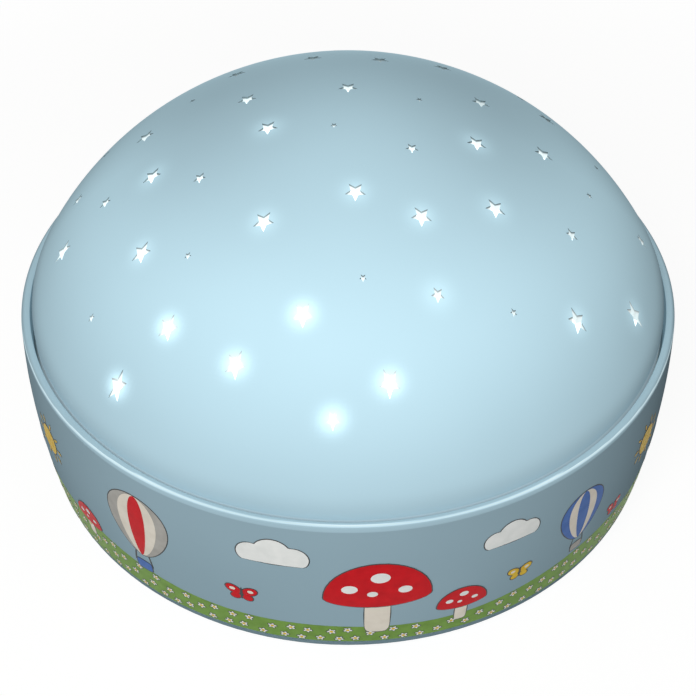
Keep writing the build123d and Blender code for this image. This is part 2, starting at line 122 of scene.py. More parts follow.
def runTree(piece, tree, values):  # geometry tree on a piece, its inputs set by identifier
    modifier = piece.modifiers.new(tree.name, "NODES")
    modifier.node_group = tree
    for item in tree.interface.items_tree:
        if item.in_out == "INPUT" and item.name in values:
            modifier[item.identifier] = values[item.name]
    return applied(piece)


def shadeSmooth(mesh):  # smooth, but for the sharp edges
    for polygon in mesh.polygons:
        polygon.use_smooth = True
    mesh.set_sharp_from_angle(angle=math.radians(smoothAngle))


def setValues(mesh, name, values, kind="FLOAT", domain="POINT"):  # attribute that a tree or material reads
    mesh.attributes.new(name, kind, domain).data.foreach_set("value", values)


def pointsOf(mesh):  # its vertices as an array
    points = np.zeros(len(mesh.vertices) * 3)
    mesh.vertices.foreach_get("co", points)
    return points.reshape(-1, 3)


def pointMesh(name, vertices, faces):
    mesh = bpy.data.meshes.new(name)
    mesh.from_pydata(vertices, [], faces)
    return mesh


def joined(name, meshes):
    work = bmesh.new()
    for mesh in meshes:
        work.from_mesh(mesh)
    result = bpy.data.meshes.new(name)
    work.to_mesh(result)
    work.free()
    return result


def cleaned(mesh):  # slivers that a cut or a bevel left are closed up
    work = bmesh.new()
    work.from_mesh(mesh)
    bmesh.ops.dissolve_degenerate(work, dist=sliver, edges=work.edges)
    work.to_mesh(mesh)
    work.free()


def arcPoints(centre, radius, start, end, steps):  # angles in degrees, both ends included
    angles = np.radians(np.linspace(start, end, steps + 1))
    return [(centre[0] + radius * math.cos(a), centre[1] + radius * math.sin(a)) for a in angles]


def latheMesh(name, profile, steps):  # closed section of (radius, height) points turned round Z
    vertices = []
    rings = []
    for radius, height in profile:
        if radius == 0:
            rings.append([len(vertices)] * steps)  # a pole is one shared vertex
            vertices.append((0, 0, height))
            continue
        rings.append(range(len(vertices), len(vertices) + steps))
        for i in range(steps):
            angle = 2 * math.pi * i / steps
            vertices.append((radius * math.cos(angle), radius * math.sin(angle), height))
    faces = []
    for lower, upper in zip(rings, rings[1:] + rings[:1]):
        for i in range(steps):
            j = (i + 1) % steps
            corners = list(dict.fromkeys((lower[i], lower[j], upper[j], upper[i])))
            if len(corners) > 2:
                faces.append(corners)
    mesh = pointMesh(name, vertices, faces)
    work = bmesh.new()
    work.from_mesh(mesh)
    bmesh.ops.recalc_face_normals(work, faces=work.faces)
    work.to_mesh(mesh)
    work.free()
    return mesh


# Materials

lampAndPaintedLight = {
    "bare": "#F8FFFD",
    # glow colour on the blue: the lamp's light through thin ABS, and painted light and shade
    "lampAndPaintedBlue": "#CBEEFA",
    # near white: painted light in the gap round the dome, and the painted highlight on the lip
    "paintedNearWhite": "#E6F4F5",
    "liner": 1.1,  # strength behind the holes
    "edgeDepth": (0.2, 0.42),  # shares of the wall between which a hole's edge turns from dark to lit
    "haloGlow": (0.5, 1.0),  # where the wall's glow grows from this to this, all of the edge lights up
    "haloLight": 0.95,  # to this strength
}
noise = {"low": 0.3, "high": 0.7, "driftDetail": 2.0, "grainDetail": 3.0}  # most values are from low to high
metal = {"Metallic": 1.0}


# Broad drift of colour, fine grain that roughens and lifts the surface: what moulding, plating and
# printing all leave, in sizes of their own. Real grain is finer, and is drawn coarser so that it shows
def surfaceOf(name, look):
    material = bpy.data.materials.new(name)
    tree = bareTree(material)
    place = addNode(tree, "ShaderNodeTexCoord").outputs["Object"]
    drift = addNode(tree, "ShaderNodeTexNoise", {
        "Vector": place, "Scale": 1 / (look["driftMm"] * mm), "Detail": noise["driftDetail"]})
    tint = addNode(tree, "ShaderNodeValToRGB", {"Fac": drift.outputs["Fac"]})
    for stop, end, colour in zip(tint.color_ramp.elements, ("low", "high"), ("deep", "pale")):
        stop.position = noise[end]
        stop.color = linear(look[colour])
    grain = addNode(tree, "ShaderNodeTexNoise", {
        "Vector": place, "Scale": 1 / (look["grainMm"] * mm), "Detail": noise["grainDetail"]})
    rough = addNode(tree, "ShaderNodeMapRange", {
        "Value": grain.outputs["Fac"], "From Min": noise["low"], "From Max": noise["high"],
        "To Min": look["roughness"][0], "To Max": look["roughness"][1]})
    bump = addNode(tree, "ShaderNodeBump", {
        "Height": grain.outputs["Fac"], "Strength": look["bump"], "Distance": look["grainMm"] * mm})
    shader = addNode(tree, "ShaderNodeBsdfPrincipled", {
        "Base Color": tint.outputs["Color"], "Roughness": rough.outputs["Result"],
        "Normal": bump.outputs["Normal"], **look.get("sockets", {})})
    addNode(tree, "ShaderNodeOutputMaterial", {"Surface": shader.outputs[0]})
    return material


# ABS, injection moulded in a satin-etched tool: an even pale blue, too soft a sheen to mirror anything
iceBlueAbs = {
    "pale": "#9FBAC6", "deep": "#9AB5C1", "driftMm": 40.0, "grainMm": 0.6,
    "roughness": (0.42, 0.5), "bump": 0.02, "sockets": {"IOR": 1.53, "Specular IOR Level": 0.0}}
blueAbs = surfaceOf("ABS ice blue, satin moulded", iceBlueAbs)

# Emission by the piece's own glow attribute: the lamp's light bleeding through thin ABS, and painted light
# and shade; nearly white for the painted light in the gap round the dome and the painted highlight on the lip
blueTree = blueAbs.node_tree
blueShader = blueTree.nodes["Principled BSDF"]
blueValues = {
    name: addNode(blueTree, "ShaderNodeAttribute", attribute_name=name).outputs["Fac"]
    for name in ("glow", "leak")}
glowColour = addNode(blueTree, "ShaderNodeMix", {
    "Factor": blueValues["leak"], 6: linear(lampAndPaintedLight["lampAndPaintedBlue"]), 7: linear(lampAndPaintedLight["paintedNearWhite"])},
    data_type="RGBA")
blueTree.links.new(blueValues["glow"], blueShader.inputs["Emission Strength"])
blueTree.links.new(glowColour.outputs[2], blueShader.inputs["Emission Color"])

# Cut edge of the dome's holes, a darker copy of the blue for painted shade: the lamp floods its lower part,
# and the top stays a thin dark line
holeEdgeAbs = surfaceOf("ABS ice blue, hole edge", {
    **iceBlueAbs, "pale": "#7E8F95", "deep": "#74858B",
    "sockets": {**iceBlueAbs["sockets"], "Emission Color": linear(lampAndPaintedLight["bare"])}})
edgeTree = holeEdgeAbs.node_tree
edgeValues = {
    name: addNode(edgeTree, "ShaderNodeAttribute", attribute_name=name).outputs["Fac"]
    for name in ("depth", "lit", "glow")}
# How far up and how brightly the lamp floods the edge is painted light and shade, set by place on the dome
deepLight = addNode(edgeTree, "ShaderNodeMapRange", {
    "Value": edgeValues["depth"], "From Min": lampAndPaintedLight["edgeDepth"][0],
    "From Max": lampAndPaintedLight["edgeDepth"][1], "To Max": edgeValues["lit"]})
haloLight = addNode(edgeTree, "ShaderNodeMapRange", {
    "Value": edgeValues["glow"], "From Min": lampAndPaintedLight["haloGlow"][0],
    "From Max": lampAndPaintedLight["haloGlow"][1], "To Max": lampAndPaintedLight["haloLight"]})
edgeStrength = addNode(edgeTree, "ShaderNodeMath", {0: deepLight.outputs[0], 1: haloLight.outputs[0]},
                       operation="MAXIMUM")
edgeTree.links.new(edgeStrength.outputs[0], edgeTree.nodes["Principled BSDF"].inputs["Emission Strength"])

# ABS from the parts of the tool left spark-eroded: a darker copy of the blue, painted shade at the foot,
# under a fine even pimple
pebbledAbs = surfaceOf("ABS ice blue, spark-textured", {
    **iceBlueAbs, "pale": "#839BA5", "deep": "#7B939D", "driftMm": 14.0, "grainMm": 0.7,
    "roughness": (0.55, 0.7), "bump": 0.4})

# Opal polystyrene, extruded and formed: a milky sheet that hides the lamp and glows evenly
opalStyrene = surfaceOf("Polystyrene opal, vacuum formed", {
    "pale": "#F6F8F6", "deep": "#EEF2F1", "driftMm": 12.0, "grainMm": 0.8,
    "roughness": (0.5, 0.6), "bump": 0.02,
    "sockets": {"Emission Color": linear(lampAndPaintedLight["bare"]), "Emission Strength": lampAndPaintedLight["liner"]}})

# ABS white, moulded: a clean, faintly cool white with a little grain
whiteAbs = surfaceOf("ABS white, satin moulded", {
    "pale": "#EDF0EF", "deep": "#E3E7E6", "driftMm": 14.0, "grainMm": 0.4,
    "roughness": (0.38, 0.46), "bump": 0.04})

# Rubber, compression moulded: dark grey, dull, with a bloom of paler dust
footRubber = surfaceOf("Rubber, compression moulded", {
    "pale": "#3A3C3D", "deep": "#2A2B2C", "driftMm": 3.0, "grainMm": 0.3,
    "roughness": (0.75, 0.9), "bump": 0.15})

# Steel, zinc plated and passivated: bluish grey metal with cloudy patches
zincSteel = surfaceOf("Steel, zinc plated", {
    "pale": "#C9CED2", "deep": "#A9AFB6", "driftMm": 1.2, "grainMm": 0.15,
    "roughness": (0.28, 0.42), "bump": 0.05, "sockets": metal})

# Spring steel, nickel plated: warm bright metal, a little uneven
nickelSteel = surfaceOf("Spring steel, nickel plated", {
    "pale": "#D8D3C8", "deep": "#BDB8AE", "driftMm": 2.0, "grainMm": 0.2,
    "roughness": (0.22, 0.36), "bump": 0.04, "sockets": metal})

# Glass-epoxy board under green solder mask: glossy green in darker and paler patches
solderMask = surfaceOf("Glass epoxy, solder masked", {
    "pale": "#2F7A4A", "deep": "#1D5B35", "driftMm": 2.5, "grainMm": 0.4,
    "roughness": (0.25, 0.4), "bump": 0.06})

# Epoxy, cast: clear pale yellow over the lamp's phosphor
lampEpoxy = surfaceOf("Epoxy, cast clear", {
    "pale": "#F4E9A8", "deep": "#EBDB86", "driftMm": 1.0, "grainMm": 0.3,
    "roughness": (0.06, 0.12), "bump": 0.01, "sockets": {"IOR": 1.53, "Transmission Weight": 0.4}})

# Nylon, moulded black: dull with a fine grain
blackNylon = surfaceOf("Nylon black, moulded", {
    "pale": "#2B2C2E", "deep": "#1E1F21", "driftMm": 3.0, "grainMm": 0.25,
    "roughness": (0.5, 0.65), "bump": 0.08})

# Aluminium can, drawn: pale grey metal with a soft sheen
drawnAluminium = surfaceOf("Aluminium, drawn", {
    "pale": "#D2D4D6", "deep": "#B9BCBF", "driftMm": 1.5, "grainMm": 0.2,
    "roughness": (0.25, 0.38), "bump": 0.04, "sockets": metal})

# PVC, extruded over wire: smooth and slightly waxy
wireLook = {"driftMm": 4.0, "grainMm": 0.3, "roughness": (0.35, 0.48), "bump": 0.03}
redPvc = surfaceOf("PVC red, extruded", {**wireLook, "pale": "#C62A2A", "deep": "#A81F21"})
blackPvc = surfaceOf("PVC black, extruded", {**wireLook, "pale": "#2A2A2B", "deep": "#1B1B1C"})

# PVC film, shrunk over the cells: semi-gloss slate blue with a pale printed band
filmLook = {"driftMm": 8.0, "grainMm": 0.5, "roughness": (0.25, 0.35), "bump": 0.02}
cellSleeve = surfaceOf("PVC film slate, shrunk on", {**filmLook, "pale": "#5B7FA6", "deep": "#527499"})
cellBand = surfaceOf("PVC film pale, shrunk on", {**filmLook, "pale": "#D9DDE0", "deep": "#CDD2D6"})
print("materials:", len(bpy.data.materials))

# Materials of the nodes that no piece below replaces
nodeFinish = {
    pebbledAbs: ["bottom_pan"],
    whiteAbs: ["reflector_deck", "led_base"],
    opalStyrene: ["star_liner"],
    zincSteel: ["case_screws", "door_screw", "board_screws", "led_board_screws"],
    nickelSteel: ["bridge_contacts", "positive_terminal", "negative_terminal"],
    solderMask: ["led_board", "control_board"],
    lampEpoxy: ["led_lens"],
    blackNylon: ["push_switch", "switch_plunger", "timer_chip", "chip_resistors"],
    drawnAluminium: ["filter_capacitor"],
    redPvc: ["battery_lead_red", "led_lead_red"],
    blackPvc: ["battery_lead_black", "led_lead_black"],
}
for material, names in nodeFinish.items():
    for name in names:
        nodes[name].data.materials.clear()
        nodes[name].data.materials.append(material)

# Star dome

starDome = {
    "shoulder": 10.4,  # turn from the skirt to the crown
    "wall": 1.5,
    "aroundSteps": 360,
    "crownSteps": 84,
    "shoulderSteps": 8,
    "innerSteps": 40,
    "starPoints": 5,
    "tips": {"large": 2.2, "medium": 1.4, "small": 0.75},  # tip radius
    "valleyShare": 0.45,
    "rearRepeatShare": 0.45,  # stars further forward than this are repeated half a turn round
    "ringGlow": (0.35, 21.0, 57.0),  # lamp light through the wall, in a ring: peak, spread and radius
    "rearSideFade": (0.5, 26.0),  # painted shade: what the ring loses at the sides of the back, and how far back in full
    "glowSpots": [(0.38, 41.0, [(0.02, -0.31)]), (0.11, 38.0, [(-0.08, 0.5)])],  # broad spots of painted light, the front one partly a painted highlight; as for the halos below
    "skirtGlowShare": (0.1, 0.58),  # painted shade at the skirt: what is left of the glow there, at the sides and in front
    "skirtFade": (9.0, 6.0),  # height over which it fades there
    "frontGrowth": ([0.1, 0.6], [0.0, 1.0]),  # how the sides pass into the front
    "gapGlow": 0.26,  # painted light on the skirt inside the gap, in front
    "gapDepth": 0.3,  # from this far below the rim
    "gapFront": ([0.0, 0.35, 0.9], [0.7, 0.75, 1.0]),  # how that grows from the sides to the front
    "edgeLight": (0.95, 0.4, 0.2),  # painted light in the holes: at the middle, lost to the right, and the least
    "edgeBehind": ([0.05, 0.42, 0.46, 0.5], [0.0, 0.8, 0.8, 0.0]),  # painted shade: lost behind, in a band across the dome
    "edgeLeak": (0.3, 0.1),  # painted light: towards the sides, and in front, it reaches further up the holes
    "edgeLeakFront": 0.4,  # in front of this share it does so in full
}
# Places as shares of the dome's radius, right and back from its middle
starShares = {
    "large": [
        (0.00, 0.12), (-0.23, -0.06), (-0.62, 0.14), (-0.57, -0.11), (-0.23, -0.40), (-0.58, -0.37),
        (-0.86, -0.15), (-0.49, -0.60), (-0.12, -0.65), (-0.30, -0.73), (-0.64, -0.66), (0.40, 0.16),
        (0.37, -0.08), (0.58, 0.00), (0.02, -0.33), (0.20, -0.39), (0.41, -0.31), (0.64, -0.52),
        (0.84, -0.37), (0.11, -0.79), (-0.11, 0.40), (-0.35, 0.38), (-0.30, 0.12), (0.10, 0.37),
        (0.30, 0.41), (0.63, 0.30)],
    "medium": [
        (-0.42, -0.20), (-0.84, 0.06), (-0.72, -0.10), (-0.78, 0.27), (0.56, 0.42), (0.18, -0.16),
        (0.64, -0.28), (0.91, -0.04), (0.24, -0.59), (-0.04, -0.86)],
    "small": [
        (-0.48, 0.25), (-0.04, -0.08), (-0.44, -0.44), (-0.73, -0.46), (0.21, 0.08), (0.78, 0.16),
        (0.72, -0.07), (0.04, -0.57), (0.45, -0.58)],
}
# Halos, partly the lamp's light in the plastic and partly painted glow, from stars that the lamp shines
# straight through to those that it brushes: peak, spread, places
starHalos = [
    (0.75, 2.4, [(-0.49, -0.60), (-0.12, -0.65), (-0.30, -0.73), (-0.64, -0.66), (0.11, -0.79),
                 (-0.04, -0.86)]),
    (0.24, 2.6, [(-0.23, -0.40), (-0.58, -0.37), (0.02, -0.33), (0.20, -0.39), (0.64, -0.52)]),
    (0.18, 3.0, [(-0.23, -0.06), (0.37, -0.08), (0.41, -0.31), (0.24, -0.59), (0.84, -0.37),
                 (-0.57, -0.11)])]
shoulder, domeWall, gapDepth = sizesOf(starDome, "shoulder", "wall", "gapDepth")
shoulderRing = domeRadius - shoulder
domeHeight = topZ - rimZ
crownRadius = (shoulderRing ** 2 + domeHeight ** 2 - shoulder ** 2) / (2 * (domeHeight - shoulder))
crownZ = topZ - crownRadius
crownLean = math.degrees(math.atan2(crownRadius - domeHeight, shoulderRing))


def domeProfile(inset, crownSteps):  # from the skirt's foot to the crown
    lower = arcPoints((shoulderRing, rimZ), shoulder - inset, 0, crownLean, starDome["shoulderSteps"])
    upper = arcPoints((0, crownZ), crownRadius - inset, crownLean, 90, crownSteps)
    upper[-1] = (0, topZ - inset)
    return [(domeRadius - inset, skirtZ), (domeRadius - inset, rimZ - gapDepth)] + lower + upper[1:]


def withRear(shares):  # the front places again, half a turn round
    return shares + [(-x, -y) for x, y in shares if y < -starDome["rearRepeatShare"]]


def starPlaces():  # one vertex for each star, with its tip radius as an attribute
    points = []
    tips = []
    for size, shares in starShares.items():
        for x, y in withRear(shares):
            points.append((x * domeRadius, y * domeRadius, rimZ))
            tips.append(starDome["tips"][size] * mm)
    mesh = pointMesh("starPlaces", points, [])
    setValues(mesh, "tipRadius", tips)
    return newPiece("starPlaces", mesh)


# Star-shaped prisms on the places, cut through the dome
def starCutTree():
    tree, given = newTree("starCut", {"Places": "Object", "Valley share": "Float", "Prism height": "Float",
                                      "Dome": "Material", "Hole edge": "Material"})
    outline = addNode(tree, "GeometryNodeCurveStar", {
        "Points": starDome["starPoints"], "Inner Radius": given["Valley share"], "Outer Radius": 1.0})
    tipForward = addNode(tree, "GeometryNodeTransform", {
        "Geometry": outline.outputs["Curve"], "Rotation": (0, 0, -math.pi / 2)})
    height = addNode(tree, "ShaderNodeCombineXYZ", {"Z": given["Prism height"]})
    upright = addNode(tree, "GeometryNodeCurvePrimitiveLine", {"End": height.outputs[0]})
    prism = addNode(tree, "GeometryNodeCurveToMesh", {
        "Curve": upright.outputs[0], "Profile Curve": tipForward.outputs[0], "Fill Caps": True})
    spots = addNode(tree, "GeometryNodeObjectInfo", {"Object": given["Places"]})
    tip = addNode(tree, "GeometryNodeInputNamedAttribute", {"Name": "tipRadius"}, data_type="FLOAT")
    size = addNode(tree, "ShaderNodeCombineXYZ", {"X": tip.outputs[0], "Y": tip.outputs[0], "Z": 1.0})
    stars = addNode(tree, "GeometryNodeInstanceOnPoints", {
        "Points": spots.outputs["Geometry"], "Instance": prism.outputs[0], "Scale": size.outputs[0]})
    cutters = addNode(tree, "GeometryNodeRealizeInstances", {"Geometry": stars.outputs[0]})
    marked = addNode(tree, "GeometryNodeStoreNamedAttribute", {
        "Geometry": cutters.outputs[0], "Name": "holeEdge", "Value": True},
        data_type="BOOLEAN", domain="FACE")
    pierced = addNode(tree, "GeometryNodeMeshBoolean", {
        "Mesh 1": given["Geometry"], "Mesh 2": marked.outputs[0]},
        operation="DIFFERENCE", solver="MANIFOLD")
    return endTree(tree, pierced.outputs[0], given["Dome"], {"holeEdge": given["Hole edge"]})


def wallGlow(points):  # lamp light bled through the wall in a ring, painted shade at the back's sides and the skirt, broad spots of painted light, and the stars' halos, partly painted
    x, y, z = points.T
    peak, spread, ring = starDome["ringGlow"]
    glow = peak * np.exp(-((np.hypot(x, y) / mm - ring) / spread) ** 2)
    loss, fullBack = starDome["rearSideFade"]
    aside = x ** 2 / np.maximum(x ** 2 + y ** 2, mm ** 2)
    glow *= 1 - loss * aside * np.clip(y / (fullBack * mm), 0, 1)
    halos = [(peak, spread, withRear(shares)) for peak, spread, shares in starHalos]
    for peak, spread, shares in starDome["glowSpots"] + halos:
        for right, back in np.array(shares) * domeRadius:
            surfaceZ = crownZ + math.sqrt(crownRadius ** 2 - right ** 2 - back ** 2)
            reach = np.linalg.norm(points - (right, back, surfaceZ), axis=1)
            glow += peak * np.exp(-(reach / (spread * mm)) ** 2)
    front = np.interp(-y / domeRadius, *starDome["frontGrowth"])
    fade = np.interp(front, [0, 1], starDome["skirtFade"])
    least = np.interp(front, [0, 1], starDome["skirtGlowShare"])
    rise = np.clip((z - rimZ) / (fade * mm), 0, 1)
    return glow * (least + (1 - least) * rise * rise * (3 - 2 * rise))


def setDomeLight(mesh):  # what the two blue materials read: lamp light, painted light and painted shade
    points = pointsOf(mesh)
    right, back = points[:, 0] / domeRadius, points[:, 1] / domeRadius
    # painted light, near white, on the skirt inside the gap, stronger in front
    inGap = points[:, 2] < rimZ - gapDepth / 2
    gapGlow = starDome["gapGlow"] * np.interp(-back, *starDome["gapFront"])
    setValues(mesh, "glow", np.where(inGap, gapGlow, wallGlow(points)))
    setValues(mesh, "leak", inGap.astype(float))
    # painted light and shade on the holes' edges: less to the right and in a band behind
    middle, lostRight, least = starDome["edgeLight"]
    lit = middle - lostRight * np.maximum(right, 0) - np.interp(back, *starDome["edgeBehind"])
    setValues(mesh, "lit", np.maximum(lit, least))
    depth = (crownRadius - np.linalg.norm(points - (0, 0, crownZ), axis=1)) / domeWall
    # painted light reaches further up the holes at the sides and in front
    leakAside, leakAhead = starDome["edgeLeak"]
    depth += leakAside * right ** 4 + leakAhead * np.clip(-back / starDome["edgeLeakFront"], 0, 1)
    setValues(mesh, "depth", np.clip(depth, 0, 1))


domeSection = domeProfile(0, starDome["crownSteps"]) + domeProfile(domeWall, starDome["innerSteps"])[::-1]
dome = newPiece("starDome", latheMesh("starDome", domeSection, starDome["aroundSteps"]))
starSpots = starPlaces()
runTree(dome, starCutTree(), {
    "Places": starSpots, "Valley share": starDome["valleyShare"], "Prism height": domeHeight + domeWall,
    "Dome": blueAbs, "Hole edge": holeEdgeAbs})
bpy.data.objects.remove(starSpots)
cleaned(dome.data)
shadeSmooth(dome.data)
setDomeLight(dome.data)
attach(dome, "base")
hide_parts("dome_shell")
print("star dome:", len(dome.data.polygons), "faces")

# Drum wall

drumWall = {
    "footRadius": 74.0,
    "footRound": 3.5,
    "bulge": 1.2,
    "inkRoom": 0.15,  # the wall lies this much lower at its belly, so that the print stays inside the CAD box
    "lipRound": 0.9,
    "thick": 2.5,
    "rimWidth": 2.6,
    "domeGap": 0.6,
    "recess": 7.0,
    "ledgeWidth": 3.1,
    "ledgeThick": 2.5,
    "edgeRound": 0.25,
    "seamChamfer": 0.3,
    "buttonHole": 7.3,
    "aroundSteps": 360,
    "wallSteps": 24,
    "lipSteps": 12,
    "edgeSteps": 4,
    "holeSteps": 72,
    "rimGlow": 0.25,  # painted light in the rim's flat
    "boreGlow": 0.06,  # and in the gap round the dome, in front
    "lipWash": 0.08,  # and all over the lip
    "washTurn": (45.0, 90.0),  # the lip's turn, in degrees, over which that passes into the rim's
    "lipGlow": 0.47,  # and a painted highlight in the thin line where the lip turns down, in front
    "lipLine": ([-1.0, -0.7, 0.85, 1.0], [0.0, 0.5, 1.0, 0.0]),  # that line from its outer to its inner edge
    "lipPlace": (95.0, 26.0),  # its middle and half its width in front, in degrees of the lip's turn
    "lipSlide": (72.0, 16.0),  # what both have lost at the sides
    "lipFront": ([0.1, 0.35], [0.0, 1.0]),  # how it grows from the sides to the front
}
footRadius, lipRound = sizesOf(drumWall, "footRadius", "lipRound")
seamZ = panZ + drumWall["footRound"] * mm
rimRadius = domeRadius + drumWall["rimWidth"] * mm
boreRadius = domeRadius + drumWall["domeGap"] * mm
ledgeZ = rimZ - drumWall["recess"] * mm
lipZ = rimZ - lipRound
bellyZ = (seamZ + lipZ) / 2
bellyRadius = (footRadius + rimRadius) / 2 + (drumWall["bulge"] - drumWall["inkRoom"]) * mm


def circleThrough(a, b, c):  # centre and radius
    (ax, ay), (bx, by), (cx, cy) = a, b, c
    d = 2 * (ax * (by - cy) + bx * (cy - ay) + cx * (ay - by))
    sums = [x * x + y * y for x, y in (a, b, c)]
    ux = (sums[0] * (by - cy) + sums[1] * (cy - ay) + sums[2] * (ay - by)) / d
    uy = (sums[0] * (cx - bx) + sums[1] * (ax - cx) + sums[2] * (bx - ax)) / d
    return (ux, uy), math.hypot(ax - ux, ay - uy)


wallCentre, wallArc = circleThrough((footRadius, seamZ), (bellyRadius, bellyZ), (rimRadius, lipZ))


def wallRadius(z):
    return wallCentre[0] + math.sqrt(wallArc ** 2 - (z - wallCentre[1]) ** 2)


def drumProfile():  # from the seam up the wall, over the rim and down to the ledge
    chamfer, edge, thick = sizesOf(drumWall, "seamChamfer", "edgeRound", "thick")
    ledgeInner = boreRadius - drumWall["ledgeWidth"] * mm
    ledgeUnder = ledgeZ - drumWall["ledgeThick"] * mm
    points = [(footRadius - thick, seamZ), (footRadius - chamfer, seamZ)]
    points += [(wallRadius(z), z) for z in np.linspace(seamZ + chamfer, lipZ, drumWall["wallSteps"] + 1)]
    points += arcPoints((rimRadius - lipRound, lipZ), lipRound, 0, 90, drumWall["lipSteps"])[1:]
    middle, half = drumWall["lipPlace"]
    for share in drumWall["lipLine"][0][-2:]:  # the painted highlight's last two points lie on the flat
        points.append((rimRadius - lipRound * (1 + math.radians(middle + share * half - 90)), rimZ))
    points += arcPoints((boreRadius + edge, rimZ - edge), edge, 90, 180, drumWall["edgeSteps"])
    points += [(boreRadius, ledgeZ), (ledgeInner, ledgeZ), (ledgeInner, ledgeUnder)]
    return points + [(rimRadius - thick, ledgeUnder)]


buttonLow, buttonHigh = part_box("power_button")
buttonZ = (buttonLow.z + buttonHigh.z) / 2


def cutButtonHole(piece):  # through the back wall, along Y
    radius = drumWall["buttonHole"] * mm
    work = bmesh.new()
    bmesh.ops.create_cone(work, cap_ends=True, segments=drumWall["holeSteps"], radius1=radius, radius2=radius,
                          depth=rimRadius)
    mesh = bpy.data.meshes.new("holeCutter")
    work.to_mesh(mesh)
    work.free()
    cutter = newPiece("holeCutter", mesh)
    cutter.rotation_euler = (math.pi / 2, 0, 0)
    cutter.location = (0, rimRadius, buttonZ)
    cut = piece.modifiers.new("buttonHole", "BOOLEAN")
    cut.object = cutter
    cut.solver = "EXACT"
    applied(piece)
    bpy.data.objects.remove(cutter)


def setRimLight(mesh):  # painted light on the rim, and a painted highlight on the lip, by the lip's turn, from 0 degrees on the wall to 90 on the flat
    x, y, z = pointsOf(mesh).T
    radius = np.hypot(x, y)
    front = -y / radius
    outward = radius - rimRadius + lipRound
    turn = np.degrees(np.arctan2(z - lipZ, np.maximum(outward, 0)) + np.maximum(-outward, 0) / lipRound)
    aside = (x / radius) ** 2
    inFront, lost = np.array(drumWall["lipPlace"]), np.array(drumWall["lipSlide"])
    middle, half = (inFront - np.outer(aside, lost)).T
    line = np.interp((turn - middle) / half, *drumWall["lipLine"]) * np.interp(front, *drumWall["lipFront"])
    wash = np.interp(turn, drumWall["washTurn"], (drumWall["lipWash"], drumWall["rimGlow"]))
    inBore = (radius < boreRadius + sliver) & (z > ledgeZ)
    onLip = (z >= lipZ) & ~inBore
    boreGlow = drumWall["boreGlow"] * np.interp(front, *starDome["gapFront"])
    setValues(mesh, "glow", np.select([inBore, onLip], [boreGlow, wash + drumWall["lipGlow"] * line]))
    setValues(mesh, "leak", np.where(onLip, line, 0.0))


drum = newPiece("drumWall", latheMesh("drumWall", drumProfile(), drumWall["aroundSteps"]))
drum.data.materials.append(blueAbs)
cutButtonHole(drum)
cleaned(drum.data)
shadeSmooth(drum.data)
setRimLight(drum.data)
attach(drum, "base")
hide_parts("base_shell")
print("drum wall:", len(drum.data.polygons), "faces")

# Power button, dished, with a raised on-off mark

powerButton = {
    "capRadius": 7.0,
    "edgeRound": 0.9,
    "faceInset": 0.1,  # edge of the face behind the node's outermost point
    "dish": 0.5,
    "flangeRadius": 8.7,
    "flangeDepth": 5.9,  # flange's front behind the face
    "flangeThick": 1.6,
    "stemRadius": 2.6,
    "aroundSteps": 96,
    "edgeSteps": 8,
    "dishSteps": 8,
    "markRadius": 2.4,
    "markGap": 70.0,  # degrees left open at the top
    "markBar": (1.0, 3.3),  # lower and upper end, from the middle
    "markSteps": 40,
    "beadRadius": 0.32,
    "beadSteps": 12,
}
faceY = buttonHigh.y - powerButton["faceInset"] * mm


def dishDepth(share):  # by share of the way from the middle to the edge
    return powerButton["dish"] * mm * (1 - share ** 2)


def buttonProfile():  # from the stem's end out to the middle of the face
    cap, edge, stem, flange = sizesOf(powerButton, "capRadius", "edgeRound", "stemRadius", "flangeRadius")
    flangeFront = faceY - powerButton["flangeDepth"] * mm
    flangeBack = flangeFront - powerButton["flangeThick"] * mm
    points = [(0, buttonLow.y), (stem, buttonLow.y), (stem, flangeBack), (flange, flangeBack),
              (flange, flangeFront), (cap, flangeFront)]
    points += arcPoints((cap - edge, faceY - edge), edge, 0, 90, powerButton["edgeSteps"])
    inward = np.linspace(1, 0, powerButton["dishSteps"] + 1)[1:]
    return points + [(share * (cap - edge), faceY - dishDepth(share)) for share in inward]


# A bead along an open ring and along the bar in its gap
def markTree():
    tree, given = newTree("powerMark", {
        "Ring radius": "Float", "Start": "Float", "Sweep": "Float", "Bar low": "Float", "Bar high": "Float",
        "Bead radius": "Float", "Plastic": "Material"})
    ring = addNode(tree, "GeometryNodeCurveArc", {
        "Resolution": powerButton["markSteps"], "Radius": given["Ring radius"], "Start Angle": given["Start"],
        "Sweep Angle": given["Sweep"]})
    low = addNode(tree, "ShaderNodeCombineXYZ", {"Y": given["Bar low"]})
    high = addNode(tree, "ShaderNodeCombineXYZ", {"Y": given["Bar high"]})
    bar = addNode(tree, "GeometryNodeCurvePrimitiveLine", {"Start": low.outputs[0], "End": high.outputs[0]})
    both = addNode(tree, "GeometryNodeJoinGeometry")
    for part in (ring, bar):
        tree.links.new(part.outputs[0], both.inputs[0])
    section = addNode(tree, "GeometryNodeCurvePrimitiveCircle", {
        "Resolution": powerButton["beadSteps"], "Radius": given["Bead radius"]})
    bead = addNode(tree, "GeometryNodeCurveToMesh", {
        "Curve": both.outputs[0], "Profile Curve": section.outputs[0], "Fill Caps": True})
    upright = addNode(tree, "GeometryNodeTransform", {
        "Geometry": bead.outputs[0], "Rotation": (math.pi / 2, 0, 0)})
    return endTree(tree, upright.outputs[0], given["Plastic"])


